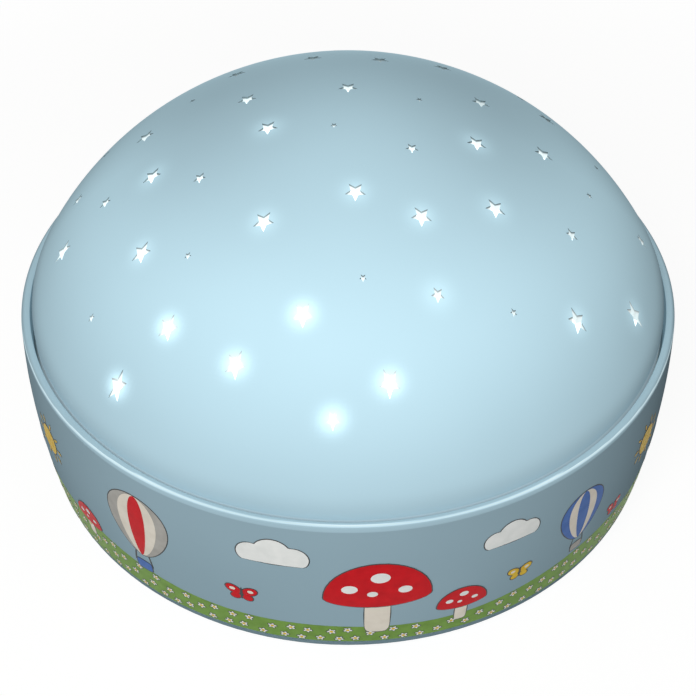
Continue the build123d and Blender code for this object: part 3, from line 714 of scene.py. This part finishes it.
capMesh = latheMesh("buttonCap", buttonProfile(), powerButton["aroundSteps"])
capMesh.transform(Matrix.Translation((0, 0, buttonZ)) @ Matrix.Rotation(-math.pi / 2, 4, "X"))
mark = newPiece("powerMark", bpy.data.meshes.new("powerMark"))
runTree(mark, markTree(), {
    "Ring radius": powerButton["markRadius"] * mm, "Start": math.radians(90 + powerButton["markGap"] / 2),
    "Sweep": math.radians(360 - powerButton["markGap"]), "Bar low": powerButton["markBar"][0] * mm,
    "Bar high": powerButton["markBar"][1] * mm, "Bead radius": powerButton["beadRadius"] * mm,
    "Plastic": blueAbs})
markShare = powerButton["markRadius"] / (powerButton["capRadius"] - powerButton["edgeRound"])
mark.data.transform(Matrix.Translation((0, faceY - dishDepth(markShare), buttonZ)))
button = newPiece("powerButton", joined("powerButton", [capMesh, mark.data]))
bpy.data.objects.remove(mark)
button.data.materials.append(whiteAbs)
button.data.materials.append(blueAbs)
for polygon in button.data.polygons[len(capMesh.polygons):]:  # the mark
    polygon.material_index = 1
shadeSmooth(button.data)
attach(button, "button")
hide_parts("power_button")
print("power button:", len(button.data.polygons), "faces")

# Rubber feet, four alike, each with a rounded edge and a ring groove in its tread

rubberFeet = {
    "count": 4,
    "radius": 5.2,
    "ring": 60.0,
    "edgeRound": 0.5,
    "grooveRadius": 3.0,
    "grooveWidth": 0.8,
    "grooveDepth": 0.35,
    "aroundSteps": 48,
    "edgeSteps": 6,
}
footLow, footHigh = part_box("rubber_feet")


def footProfile():  # from the top's middle, down the side and in over the tread
    radius, edge, groove, width = sizesOf(rubberFeet, "radius", "edgeRound", "grooveRadius", "grooveWidth")
    bed = footLow.z + rubberFeet["grooveDepth"] * mm
    points = [(0, footHigh.z), (radius, footHigh.z)]
    points += arcPoints((radius - edge, footLow.z + edge), edge, 0, -90, rubberFeet["edgeSteps"])
    points += [(groove + width / 2, footLow.z), (groove + width / 4, bed)]
    points += [(groove - width / 4, bed), (groove - width / 2, footLow.z)]
    return points + [(0, footLow.z)]


# One shape set on the points of a ring
def ringTree():
    tree, given = newTree("setRound", {
        "Shape": "Object", "Count": "Int", "Ring": "Float", "Finish": "Material"})
    ring = addNode(tree, "GeometryNodeMeshCircle", {"Vertices": given["Count"], "Radius": given["Ring"]})
    shape = addNode(tree, "GeometryNodeObjectInfo", {"Object": given["Shape"]})
    around = addNode(tree, "GeometryNodeInstanceOnPoints", {
        "Points": ring.outputs["Mesh"], "Instance": shape.outputs["Geometry"]})
    return endTree(tree, around.outputs[0], given["Finish"])


foot = newPiece("foot", latheMesh("foot", footProfile(), rubberFeet["aroundSteps"]))
feet = newPiece("rubberFeet", bpy.data.meshes.new("rubberFeet"))
runTree(feet, ringTree(), {
    "Shape": foot, "Count": rubberFeet["count"], "Ring": rubberFeet["ring"] * mm, "Finish": footRubber})
bpy.data.objects.remove(foot)
shadeSmooth(feet.data)
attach(feet, "base")
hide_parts("rubber_feet")
print("rubber feet:", len(feet.data.polygons), "faces")

# Battery cells: a steel can in a printed sleeve, each turned the other way from its neighbour

batteryCells = {
    "count": 3,
    "pitch": 15.0,
    "nubRadius": 2.75,
    "nubRound": 0.3,
    "plateRadius": 4.6,  # flat end's contact
    "sleeveLip": 5.7,  # radius that the sleeve turns in to at both ends
    "endRound": 0.5,
    "endStep": 0.3,
    "nubLength": 1.0,
    "band": (36.0, 46.0),  # pale stretch, from the flat end
    "aroundSteps": 64,
    "endSteps": 5,
    "nubSteps": 4,
}
cellNames = ["battery_cell_%d" % (i + 1) for i in range(batteryCells["count"])]
cellLow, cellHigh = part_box(cellNames[0])
cellRadius = (cellHigh.z - cellLow.z) / 2
cellLength = cellHigh.x - cellLow.x


def cellProfile():  # from the middle of the flat end to the middle of the nub
    end, step, lip, plate = sizesOf(batteryCells, "endRound", "endStep", "sleeveLip", "plateRadius")
    nub, nubRound, nubLength = sizesOf(batteryCells, "nubRadius", "nubRound", "nubLength")
    can = cellLength - nubLength
    points = [(0, 0), (plate, 0), (plate + step, step), (lip - end / 2, step), (lip, 0)]
    points += arcPoints((cellRadius - end, end), end, -90, 0, batteryCells["endSteps"])
    points += [(cellRadius, along * mm) for along in batteryCells["band"]]
    points += arcPoints((cellRadius - end, can - end), end, 0, 90, batteryCells["endSteps"])
    points += [(lip, can), (lip - end / 2, can - step), (nub, can - step)]
    points += arcPoints((nub - nubRound, cellLength - nubRound), nubRound, 0, 90, batteryCells["nubSteps"])
    return points + [(0, cellLength)]


# A row of cells, every other one turned round, with faces marked steel or band in those finishes
def cellTree():
    tree, given = newTree("cellRow", {"Cell": "Object", "Count": "Int", "Pitch": "Float", "Height": "Float",
                                      "Sleeve": "Material", "Steel": "Material", "Band": "Material"})
    last = addNode(tree, "ShaderNodeMath", {0: given["Count"], 1: 1.0}, operation="SUBTRACT")
    span = addNode(tree, "ShaderNodeMath", {0: last.outputs[0], 1: given["Pitch"]}, operation="MULTIPLY")
    first = addNode(tree, "ShaderNodeMath", {0: span.outputs[0], 1: -0.5}, operation="MULTIPLY")
    start = addNode(tree, "ShaderNodeCombineXYZ", {"Y": first.outputs[0], "Z": given["Height"]})
    step = addNode(tree, "ShaderNodeCombineXYZ", {"Y": given["Pitch"]})
    row = addNode(tree, "GeometryNodeMeshLine", {
        "Count": given["Count"], "Start Location": start.outputs[0], "Offset": step.outputs[0]})
    order = addNode(tree, "GeometryNodeInputIndex")
    odd = addNode(tree, "ShaderNodeMath", {0: order.outputs[0], 1: 2.0}, operation="MODULO")
    half = addNode(tree, "ShaderNodeMath", {0: odd.outputs[0], 1: math.pi}, operation="MULTIPLY")
    turn = addNode(tree, "ShaderNodeCombineXYZ", {"Z": half.outputs[0]})
    shape = addNode(tree, "GeometryNodeObjectInfo", {"Object": given["Cell"]})
    copies = addNode(tree, "GeometryNodeInstanceOnPoints", {
        "Points": row.outputs[0], "Instance": shape.outputs["Geometry"], "Rotation": turn.outputs[0]})
    return endTree(tree, copies.outputs[0], given["Sleeve"], {"steel": given["Steel"], "band": given["Band"]})


def markCell(mesh):  # faces inside the sleeve's lips are steel, those between the band's ends are its band
    low, high = (along * mm for along in batteryCells["band"])
    steel = []
    band = []
    for polygon in mesh.polygons:
        corners = [mesh.vertices[i].co for i in polygon.vertices]
        steel.append(max(math.hypot(c.x, c.y) for c in corners) < batteryCells["sleeveLip"] * mm)
        band.append(low < polygon.center.z < high)
    setValues(mesh, "steel", steel, "BOOLEAN", "FACE")
    setValues(mesh, "band", band, "BOOLEAN", "FACE")


cellMesh = latheMesh("cell", cellProfile(), batteryCells["aroundSteps"])
markCell(cellMesh)
cellMesh.transform(Matrix.Translation((cellLow.x, 0, 0)) @ Matrix.Rotation(math.pi / 2, 4, "Y"))
cell = newPiece("cell", cellMesh)
cells = newPiece("batteryCells", bpy.data.meshes.new("batteryCells"))
runTree(cells, cellTree(), {
    "Cell": cell, "Count": batteryCells["count"], "Pitch": batteryCells["pitch"] * mm,
    "Height": (cellLow.z + cellHigh.z) / 2, "Sleeve": cellSleeve, "Steel": nickelSteel, "Band": cellBand})
bpy.data.objects.remove(cell)
shadeSmooth(cells.data)
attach(cells, "base")
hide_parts(*cellNames)
print("battery cells:", len(cells.data.polygons), "faces")

# Battery door: the node's own shape with its sharp edges broken

batteryDoor = {
    "edgeBreak": 0.3,
    "edgeSteps": 2,
    "sharpAngle": 40.0,  # edges that turn by more degrees than this are broken
    "flatAngle": 1.0,  # those that turn by less are no edges
}


def softened(name, node):  # copy of a node's mesh with its triangles merged and its edges bevelled
    work = bmesh.new()
    work.from_mesh(nodes[node].data)
    bmesh.ops.remove_doubles(work, verts=work.verts, dist=sliver)
    flatAngle = math.radians(batteryDoor["flatAngle"])
    bmesh.ops.dissolve_limit(work, angle_limit=flatAngle, verts=work.verts, edges=work.edges)
    mesh = bpy.data.meshes.new(name)
    work.to_mesh(mesh)
    work.free()
    piece = newPiece(name, mesh)
    bevel = piece.modifiers.new("edgeBreak", "BEVEL")
    bevel.width = batteryDoor["edgeBreak"] * mm
    bevel.segments = batteryDoor["edgeSteps"]
    bevel.limit_method = "ANGLE"
    bevel.angle_limit = math.radians(batteryDoor["sharpAngle"])
    return applied(piece)


door = softened("batteryDoor", "battery_door")
door.data.materials.append(pebbledAbs)
cleaned(door.data)
shadeSmooth(door.data)
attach(door, "door")
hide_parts("battery_door")
print("battery door:", len(door.data.polygons), "faces")

# Print round the wall: a meadow with toadstools, balloons, clouds, butterflies and suns, drawn flat in
# millimetres (along the wall from the front, and up), then wrapped

wallPrint = {
    "layerLift": 0.02,  # each layer of ink over the one below
    "lineWidth": 0.25,
    "cornerPower": 0.4,  # the lower, the squarer a block
    "panels": 3,  # the motifs repeat this many times round the wall
    "ringStep": 1.6,  # about the longest stretch that stays flat
    "meadowLow": 4.9,
    "meadowHigh": 12.6,
    "meadowWaves": [(3, 1.8, -1.8), (8, 0.5, 2.0)],  # waves round the wall, height and start
    "meadowRows": 4,
    "flowerRadius": 1.0,
    "flowerPetals": 5,
    "petalShare": 0.26,  # half the depth of the notches between petals, against the radius
    "flowerLine": 0.22,
    "flowerEye": 0.8,
    "flowerSpacing": 3.4,
    "flowerDensity": 4e6,  # tries for each square metre, which the spacing thins out
    "flowerSeed": 7,
    "bedInset": 1.1,  # flowers' middles keep this far from the meadow's edges
}
outlineSteps = {"oval": 36, "block": 40, "envelope": 48, "cloud": 72, "flower": 30, "flowerEye": 10}
inkColours = {
    "line": ("#4A4E50", "#3E4244"), "green": ("#769E43", "#688E37"), "red": ("#D2141F", "#C30E1A"),
    "cream": ("#F0E9DB", "#E6DECF"), "grey": ("#B5B3AD", "#A6A49E"), "blue": ("#4B74B8", "#3F67AA"),
    "yellow": ("#E8C43C", "#DDB52C"), "white": ("#F6F8F5", "#ECEFEC"),
}
meanRadius = (footRadius + rimRadius) / 2
halfRound = math.pi * meanRadius / mm
printShapes = []


# Screen-printed ink: an even film with a slight mottle and a faint sheen
def inkFilm(ink):
    pale, deep = inkColours[ink]
    return surfaceOf("Ink " + ink + ", screen printed", {
        "pale": pale, "deep": deep, "driftMm": 2.5, "grainMm": 0.3, "roughness": (0.45, 0.55), "bump": 0.03,
        "sockets": {"Specular IOR Level": 0.15}})


def addShape(ink, layer, place, outline):  # layers count outwards from the meadow's, which is 1
    printShapes.append({"ink": ink, "layer": layer, "place": place, "outline": np.asarray(outline)})


def outlined(ink, layer, place, outline):  # a shape with a thin dark line round it
    outline = np.asarray(outline)
    distance = np.linalg.norm(outline, axis=1, keepdims=True)
    addShape("line", layer - 1, place, outline * (1 + wallPrint["lineWidth"] / distance))
    addShape(ink, layer, place, outline)


def fullTurn(outline):  # angles round an outline
    return np.linspace(0, 2 * math.pi, outlineSteps[outline], endpoint=False)


def oval(width, height, turn=0.0, outline="oval"):
    t = fullTurn(outline)
    x, y = width / 2 * np.cos(t), height / 2 * np.sin(t)
    c, s = math.cos(math.radians(turn)), math.sin(math.radians(turn))
    return np.stack([c * x - s * y, s * x + c * y], axis=1)


def softBlock(width, height):  # rectangle with round corners
    points = oval(2, 2, outline="block")
    return np.sign(points) * np.abs(points) ** wallPrint["cornerPower"] * (width / 2, height / 2)


def petals(grow):  # a flower's outline
    t = fullTurn("flower")
    notch = wallPrint["petalShare"]
    reach = wallPrint["flowerRadius"] * (1 - notch + notch * np.cos(wallPrint["flowerPetals"] * t)) + grow
    return np.stack([reach * np.cos(t), reach * np.sin(t)], axis=1)


# Each motif's parts are shares of its size, but for counts and degrees
toadstoolShares = {
    "stem": (0.24, 0.64),
    "capUp": 0.6,
    "capUnder": 0.3,  # depth of the cap's lower half against the upper
    "spots": [  # right, up and width
        (-0.26, 0.14, 0.15), (0.02, 0.30, 0.18), (0.25, 0.10, 0.13), (-0.05, 0.06, 0.10)],
    "spotFlat": 0.8,
}


def toadstool(x, low, size):
    stemWidth, stemHeight = np.array(toadstoolShares["stem"]) * size
    capZ = low + toadstoolShares["capUp"] * size
    cap = oval(size, size)
    cap[:, 1] *= np.where(cap[:, 1] > 0, 1.0, toadstoolShares["capUnder"])
    outlined("cream", 3, (x, low + stemHeight / 2), softBlock(stemWidth, stemHeight))
    outlined("red", 5, (x, capZ), cap)
    for right, up, width in np.array(toadstoolShares["spots"]) * size:
        addShape("white", 6, (x + right, capZ + up), oval(width, toadstoolShares["spotFlat"] * width))


balloonShares = {
    "envelope": 0.36,  # half its width and height, before the taper
    "envelopeUp": 0.12,
    "taper": 0.35,  # narrower towards the neck
    "neck": 0.2,  # and longer
    "stripes": (0.64, 0.27),
    "rope": (0.02, 0.2),
    "ropePlace": (0.085, -0.36),
    "ropeLean": 10.0,  # degrees
    "basket": (0.17, 0.13),
    "basketUp": -0.47,
}


def balloon(x, middle, size, colours):
    t = fullTurn("envelope")
    low = (1 - np.cos(t)) / 2
    half = balloonShares["envelope"] * size
    across = -half * np.sin(t) * (1 - balloonShares["taper"] * low ** 2)
    envelope = np.stack([across, half * np.cos(t) * (1 + balloonShares["neck"] * low)], axis=1)
    place = (x, middle + balloonShares["envelopeUp"] * size)
    outlined(colours[0], 3, place, envelope)
    for layer, ink, share in zip((4, 5), colours[1:], balloonShares["stripes"]):
        addShape(ink, layer, place, envelope * (share, 1))
    right, up = np.array(balloonShares["ropePlace"]) * size
    for side in (-1, 1):
        rope = oval(*np.array(balloonShares["rope"]) * size, side * balloonShares["ropeLean"])
        addShape("line", 2, (x + side * right, middle + up), rope)
    basket = softBlock(*np.array(balloonShares["basket"]) * size)
    outlined(colours[3], 4, (x, middle + balloonShares["basketUp"] * size), basket)


cloudShares = {
    "lobes": [(-0.29, 0.0, 0.20), (0.0, 0.07, 0.26), (0.28, 0.0, 0.21)],  # right, up, radius
    "under": -0.15,  # flat underneath
}


def cloud(x, middle, width):
    points = []
    for t in fullTurn("cloud"):
        along = np.array((math.cos(t), math.sin(t)))
        reach = 0.0
        for right, up, radius in cloudShares["lobes"]:
            b = along @ (right, up)
            inside = b * b - right ** 2 - up ** 2 + radius ** 2
            if inside > 0:
                reach = max(reach, b + math.sqrt(inside))
        if reach * along[1] < cloudShares["under"]:
            reach = cloudShares["under"] / along[1]
        points.append(along * reach * width)
    outlined("white", 3, (x, middle), points)


butterflyShares = {
    "wings": [  # right, up, length, width and lean
        (0.27, 0.14, 0.55, 0.38, 32.0), (0.2, -0.2, 0.34, 0.3, -30.0)],
    "spot": (0.3, 0.16, 0.2, 0.16),
    "body": (0.1, 0.62),
}


def butterfly(x, middle, size, ink):
    for side in (-1, 1):
        for *shares, lean in butterflyShares["wings"]:
            right, up, length, width = np.array(shares) * size
            outlined(ink, 3, (x + side * right, middle + up), oval(length, width, side * lean))
        right, up, length, width = np.array(butterflyShares["spot"]) * size
        addShape("cream", 4, (x + side * right, middle + up), oval(length, width))
    addShape("line", 5, (x, middle), oval(*np.array(butterflyShares["body"]) * size))


sunShares = {"rays": 10, "rayOut": 0.43, "ray": (0.16, 0.05), "disc": 0.6}


def sun(x, middle, size):
    places = arcPoints((x, middle), sunShares["rayOut"] * size, 0, 360, sunShares["rays"])
    for ray, place in enumerate(places[:-1]):
        outlined("yellow", 3, place, oval(*np.array(sunShares["ray"]) * size, ray * 360 / sunShares["rays"]))
    outlined("yellow", 5, (x, middle), oval(sunShares["disc"] * size, sunShares["disc"] * size))


# Motifs of one panel: along the wall from the panel's middle, up, size and ink, where it has a choice
panelMotifs = [
    (balloon, -46.0, 26.0, 24.0, ("grey", "cream", "red", "blue")),
    (balloon, 53.0, 25.0, 19.0, ("blue", "cream", "blue", "grey")),
    (toadstool, 6.0, 9.0, 22.0),
    (toadstool, 24.0, 8.5, 11.0),
    (toadstool, -64.0, 10.0, 9.0),
    (cloud, -15.0, 34.0, 15.0),
    (cloud, 34.0, 33.0, 13.0),
    (butterfly, -22.0, 19.5, 6.5, "red"),
    (butterfly, 37.0, 19.0, 5.5, "yellow"),
    (butterfly, 66.0, 18.0, 5.0, "red"),
]
sunPlace = {"up": 29.0, "size": 12.0}
for panel in range(wallPrint["panels"]):
    start = 2 * halfRound * panel / wallPrint["panels"]
    for motif, along, up, size, *motifInks in panelMotifs:
        motif(start + along, up, size, *motifInks)
for side in (-1, 1):  # where panels meet, but not at the back, where the button is
    sun(side * halfRound / wallPrint["panels"], sunPlace["up"], sunPlace["size"])


def meadowTop(x):
    turn = math.pi * x / halfRound
    waves = [height * math.sin(count * turn + begin) for count, height, begin in wallPrint["meadowWaves"]]
    return wallPrint["meadowHigh"] + sum(waves)


def meadowStrip(inset, layer):  # flat strip all round, its ends meeting at the back
    columns = int(2 * halfRound / wallPrint["ringStep"])
    rows = wallPrint["meadowRows"]
    lift = -layer * wallPrint["layerLift"] * mm
    vertices = []
    faces = []
    for i in range(columns + 1):
        x = -halfRound + 2 * halfRound * i / columns
        for z in np.linspace(wallPrint["meadowLow"] + inset, meadowTop(x) - inset, rows + 1):
            vertices.append((x * mm, lift, z * mm))
    for i in range(columns):
        for j in range(rows):
            corner = i * (rows + 1) + j
            faces.append((corner, corner + rows + 1, corner + rows + 2, corner + 1))
    return pointMesh("meadow", vertices, faces)


def flatMesh(name, shapes):  # rings of quads from each shape's middle to its outline
    vertices = []
    faces = []
    for shape in shapes:
        outline = shape["outline"]
        count = len(outline)
        rings = max(1, math.ceil(np.linalg.norm(outline, axis=1).max() / wallPrint["ringStep"]))
        lift = -shape["layer"] * wallPrint["layerLift"] * mm
        first = len(vertices)
        vertices.append((shape["place"][0] * mm, lift, shape["place"][1] * mm))
        for ring in range(1, rings + 1):
            for x, z in outline * ring / rings + shape["place"]:
                vertices.append((x * mm, lift, z * mm))
        for ring in range(rings):
            inner = first + 1 + (ring - 1) * count
            outer = first + 1 + ring * count
            for i in range(count):
                j = (i + 1) % count
                if ring == 0:
                    faces.append((first, outer + i, outer + j))
                else:
                    faces.append((inner + i, outer + i, outer + j, inner + j))
    return pointMesh(name, vertices, faces)


# Flowers strewn over the meadow, each turned its own way
def flowerTree():
    tree, given = newTree("flowerScatter", {
        "Flower": "Object", "Spacing": "Float", "Density": "Float", "Seed": "Int", "Ink": "Material"})
    spots = addNode(tree, "GeometryNodeDistributePointsOnFaces", {
        "Mesh": given["Geometry"], "Distance Min": given["Spacing"], "Density Max": given["Density"],
        "Seed": given["Seed"]}, distribute_method="POISSON")
    flower = addNode(tree, "GeometryNodeObjectInfo", {"Object": given["Flower"]})
    turn = addNode(tree, "FunctionNodeRandomValue", {"Max": (0, 2 * math.pi, 0), "Seed": given["Seed"]},
                   data_type="FLOAT_VECTOR")
    strewn = addNode(tree, "GeometryNodeInstanceOnPoints", {
        "Points": spots.outputs["Points"], "Instance": flower.outputs["Geometry"],
        "Rotation": turn.outputs[0]})
    return endTree(tree, strewn.outputs[0], given["Ink"])


# Flat print bent round the barrel-shaped wall: x runs along it, z up it, and y stands off it
def wrapTree():
    tree, given = newTree("wrapOnWall", {"Mean radius": "Float", "Arc middle": "Float", "Arc height": "Float",
                                         "Arc radius": "Float", "Ink": "Material"})
    place = addNode(tree, "GeometryNodeInputPosition")
    flat = addNode(tree, "ShaderNodeSeparateXYZ", {0: place.outputs[0]}).outputs
    known = {socket.name: socket for socket in [*flat, *given]}
    for result, operation, *terms in (
            ("angle", "DIVIDE", "X", "Mean radius"),
            ("above", "SUBTRACT", "Z", "Arc height"),
            ("aboveSquared", "POWER", "above", 2.0),
            ("arcSquared", "POWER", "Arc radius", 2.0),
            ("left", "SUBTRACT", "arcSquared", "aboveSquared"),
            ("bulge", "SQRT", "left"),
            ("wall", "ADD", "bulge", "Arc middle"),
            ("radius", "SUBTRACT", "wall", "Y"),
            ("sine", "SINE", "angle"),
            ("cosine", "COSINE", "angle"),
            ("across", "MULTIPLY", "radius", "sine"),
            ("forward", "MULTIPLY", "radius", "cosine"),
            ("back", "MULTIPLY", "forward", -1.0)):
        inputs = {i: known.get(term, term) for i, term in enumerate(terms)}
        known[result] = addNode(tree, "ShaderNodeMath", inputs, operation=operation).outputs[0]
    bent = addNode(tree, "ShaderNodeCombineXYZ", {"X": known["across"], "Y": known["back"], "Z": flat["Z"]})
    moved = addNode(tree, "GeometryNodeSetPosition", {
        "Geometry": given["Geometry"], "Position": bent.outputs[0]})
    return endTree(tree, moved.outputs[0], given["Ink"])


def strew(ink, outline, layer):  # the meadow's flowers in one ink
    pattern = newPiece("flower", flatMesh("flower", [{"outline": outline, "layer": 0, "place": (0, 0)}]))
    bed = newPiece("flowerBed", meadowStrip(wallPrint["bedInset"], layer))
    runTree(bed, scatter, {
        "Flower": pattern, "Spacing": wallPrint["flowerSpacing"] * mm, "Density": wallPrint["flowerDensity"],
        "Seed": wallPrint["flowerSeed"], "Ink": inks[ink]})
    mesh = bed.data
    bpy.data.objects.remove(pattern)
    bpy.data.objects.remove(bed)
    return mesh


inks = {ink: inkFilm(ink) for ink in inkColours}
scatter = flowerTree()
wrap = wrapTree()
flowerEye = oval(wallPrint["flowerEye"], wallPrint["flowerEye"], outline="flowerEye")
extraArt = {
    "green": [meadowStrip(0, 1)],
    "line": [strew("line", petals(wallPrint["flowerLine"]), 2)],
    "white": [strew("white", petals(0), 3)],
    "yellow": [strew("yellow", flowerEye, 4)],
}
for ink in inkColours:
    art = [flatMesh(ink, [shape for shape in printShapes if shape["ink"] == ink])] + extraArt.get(ink, [])
    name = "print" + ink.capitalize()
    printed = newPiece(name, joined(name, art))
    runTree(printed, wrap, {
        "Mean radius": meanRadius, "Arc middle": wallCentre[0], "Arc height": wallCentre[1],
        "Arc radius": wallArc, "Ink": inks[ink]})
    shadeSmooth(printed.data)
    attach(printed, "base")
print("print:", len(printShapes), "shapes in", len(inkColours), "inks")

# Camera at the photo's viewing angle

cameraPlace = {"back": 239.1, "height": 248.55, "tilt": 46.35, "lens": 69.93, "sensor": 36.0}
cameraData = bpy.data.cameras.new("photoCamera")
cameraData.lens = cameraPlace["lens"]
cameraData.sensor_width = cameraPlace["sensor"]
camera = bpy.data.objects.new("photoCamera", cameraData)
camera.location = (0, -cameraPlace["back"] * mm, cameraPlace["height"] * mm)
camera.rotation_euler = (math.radians(cameraPlace["tilt"]), 0, 0)
bpy.context.scene.collection.objects.link(camera)
bpy.context.scene.camera = camera

# Floor, world and soft boxes

studio = {
    "floorSide": 6000.0,
    "floorDrop": 0.1,  # below the feet, so that the two don't share a plane
    "floorWhite": 0.72,  # share of plain white seen near the object; the rest shows the shadow
    "floorLift": 1.23,  # strength of that white
    "floorFade": (150.0, 700.0),  # from here out to here the floor turns all white
    "paper": "#D8D8D6",
    "worldLight": 0.12,
    "aim": (0.0, 0.0, 50.0),
}
# One low down fills the front wall, and one under the floor lights what is seen from below
softBoxes = {
    "frontBox": {"place": (-220.0, -800.0, 830.0), "side": 620.0, "watts": 7.0, "mirrored": True},
    "lowBox": {"place": (-60.0, -850.0, 230.0), "side": 400.0, "watts": 1.8, "mirrored": False},
    "backBox": {"place": (150.0, 900.0, 80.0), "side": 500.0, "watts": 3.0, "mirrored": False},
    "underBox": {"place": (0.0, 0.0, -750.0), "side": 300.0, "watts": 2.6, "mirrored": False},
}


def seenWhite(tree, plain, white):  # white for the camera and in metal and glass
    path = addNode(tree, "ShaderNodeLightPath").outputs
    seen = path["Is Camera Ray"]
    for ray in ("Is Glossy Ray", "Is Transmission Ray"):
        seen = addNode(tree, "ShaderNodeMath", {0: seen, 1: path[ray]}, operation="MAXIMUM").outputs[0]
    return addNode(tree, "ShaderNodeMix", {"Factor": seen, 2: plain, 3: white}, data_type="FLOAT").outputs[0]


world = bpy.data.worlds.new("studioWorld")
bpy.context.scene.world = world
worldTree = bareTree(world)
backdrop = addNode(worldTree, "ShaderNodeBackground", {
    "Color": (1, 1, 1, 1), "Strength": seenWhite(worldTree, studio["worldLight"], 1.0)})
addNode(worldTree, "ShaderNodeOutputWorld", {"Surface": backdrop.outputs[0]})

floorReach = studio["floorSide"] / 2 * mm
floorZ = -studio["floorDrop"] * mm
floorCorners = [(x * floorReach, y * floorReach, floorZ) for x, y in ((-1, -1), (1, -1), (1, 1), (-1, 1))]
floor = newPiece("floor", pointMesh("floor", floorCorners, [(0, 1, 2, 3)]))
floor.visible_diffuse = False
floor.visible_shadow = False  # the box under it lights the underside
floorMaterial = bpy.data.materials.new("studioPaper")
floorTree = bareTree(floorMaterial)
paper = addNode(floorTree, "ShaderNodeBsdfDiffuse", {"Color": linear(studio["paper"])})
white = addNode(floorTree, "ShaderNodeEmission", {"Color": (1, 1, 1, 1), "Strength": studio["floorLift"]})
place = addNode(floorTree, "ShaderNodeTexCoord")
away = addNode(floorTree, "ShaderNodeVectorMath", {0: place.outputs["Object"]}, operation="LENGTH")
whiteShare = addNode(floorTree, "ShaderNodeMapRange", {
    "Value": away.outputs["Value"], "From Min": studio["floorFade"][0] * mm,
    "From Max": studio["floorFade"][1] * mm, "To Min": studio["floorWhite"], "To Max": 1.0},
    interpolation_type="SMOOTHSTEP")
fromAbove = addNode(floorTree, "ShaderNodeMixShader", {
    0: seenWhite(floorTree, 0.0, whiteShare.outputs[0]), 1: paper.outputs[0], 2: white.outputs[0]})
facing = addNode(floorTree, "ShaderNodeNewGeometry")  # open from below, so that the underside can be seen
through = addNode(floorTree, "ShaderNodeBsdfTransparent")
oneWay = addNode(floorTree, "ShaderNodeMixShader", {
    0: facing.outputs["Backfacing"], 1: fromAbove.outputs[0], 2: through.outputs[0]})
addNode(floorTree, "ShaderNodeOutputMaterial", {"Surface": oneWay.outputs[0]})
floor.data.materials.append(floorMaterial)

for name, box in softBoxes.items():
    light = bpy.data.lights.new(name, "AREA")
    light.shape = "SQUARE"
    light.size = box["side"] * mm
    light.energy = box["watts"]
    lamp = bpy.data.objects.new(name, light)
    lamp.visible_camera = False
    lamp.visible_glossy = box["mirrored"]
    lamp.location = Vector(box["place"]) * mm
    lamp.rotation_euler = (Vector(studio["aim"]) * mm - lamp.location).to_track_quat("-Z", "Y").to_euler()
    bpy.context.scene.collection.objects.link(lamp)
bpy.context.scene.view_settings.view_transform = "Standard"
print("studio:", len(softBoxes), "soft boxes")

bpy.context.view_layer.update()
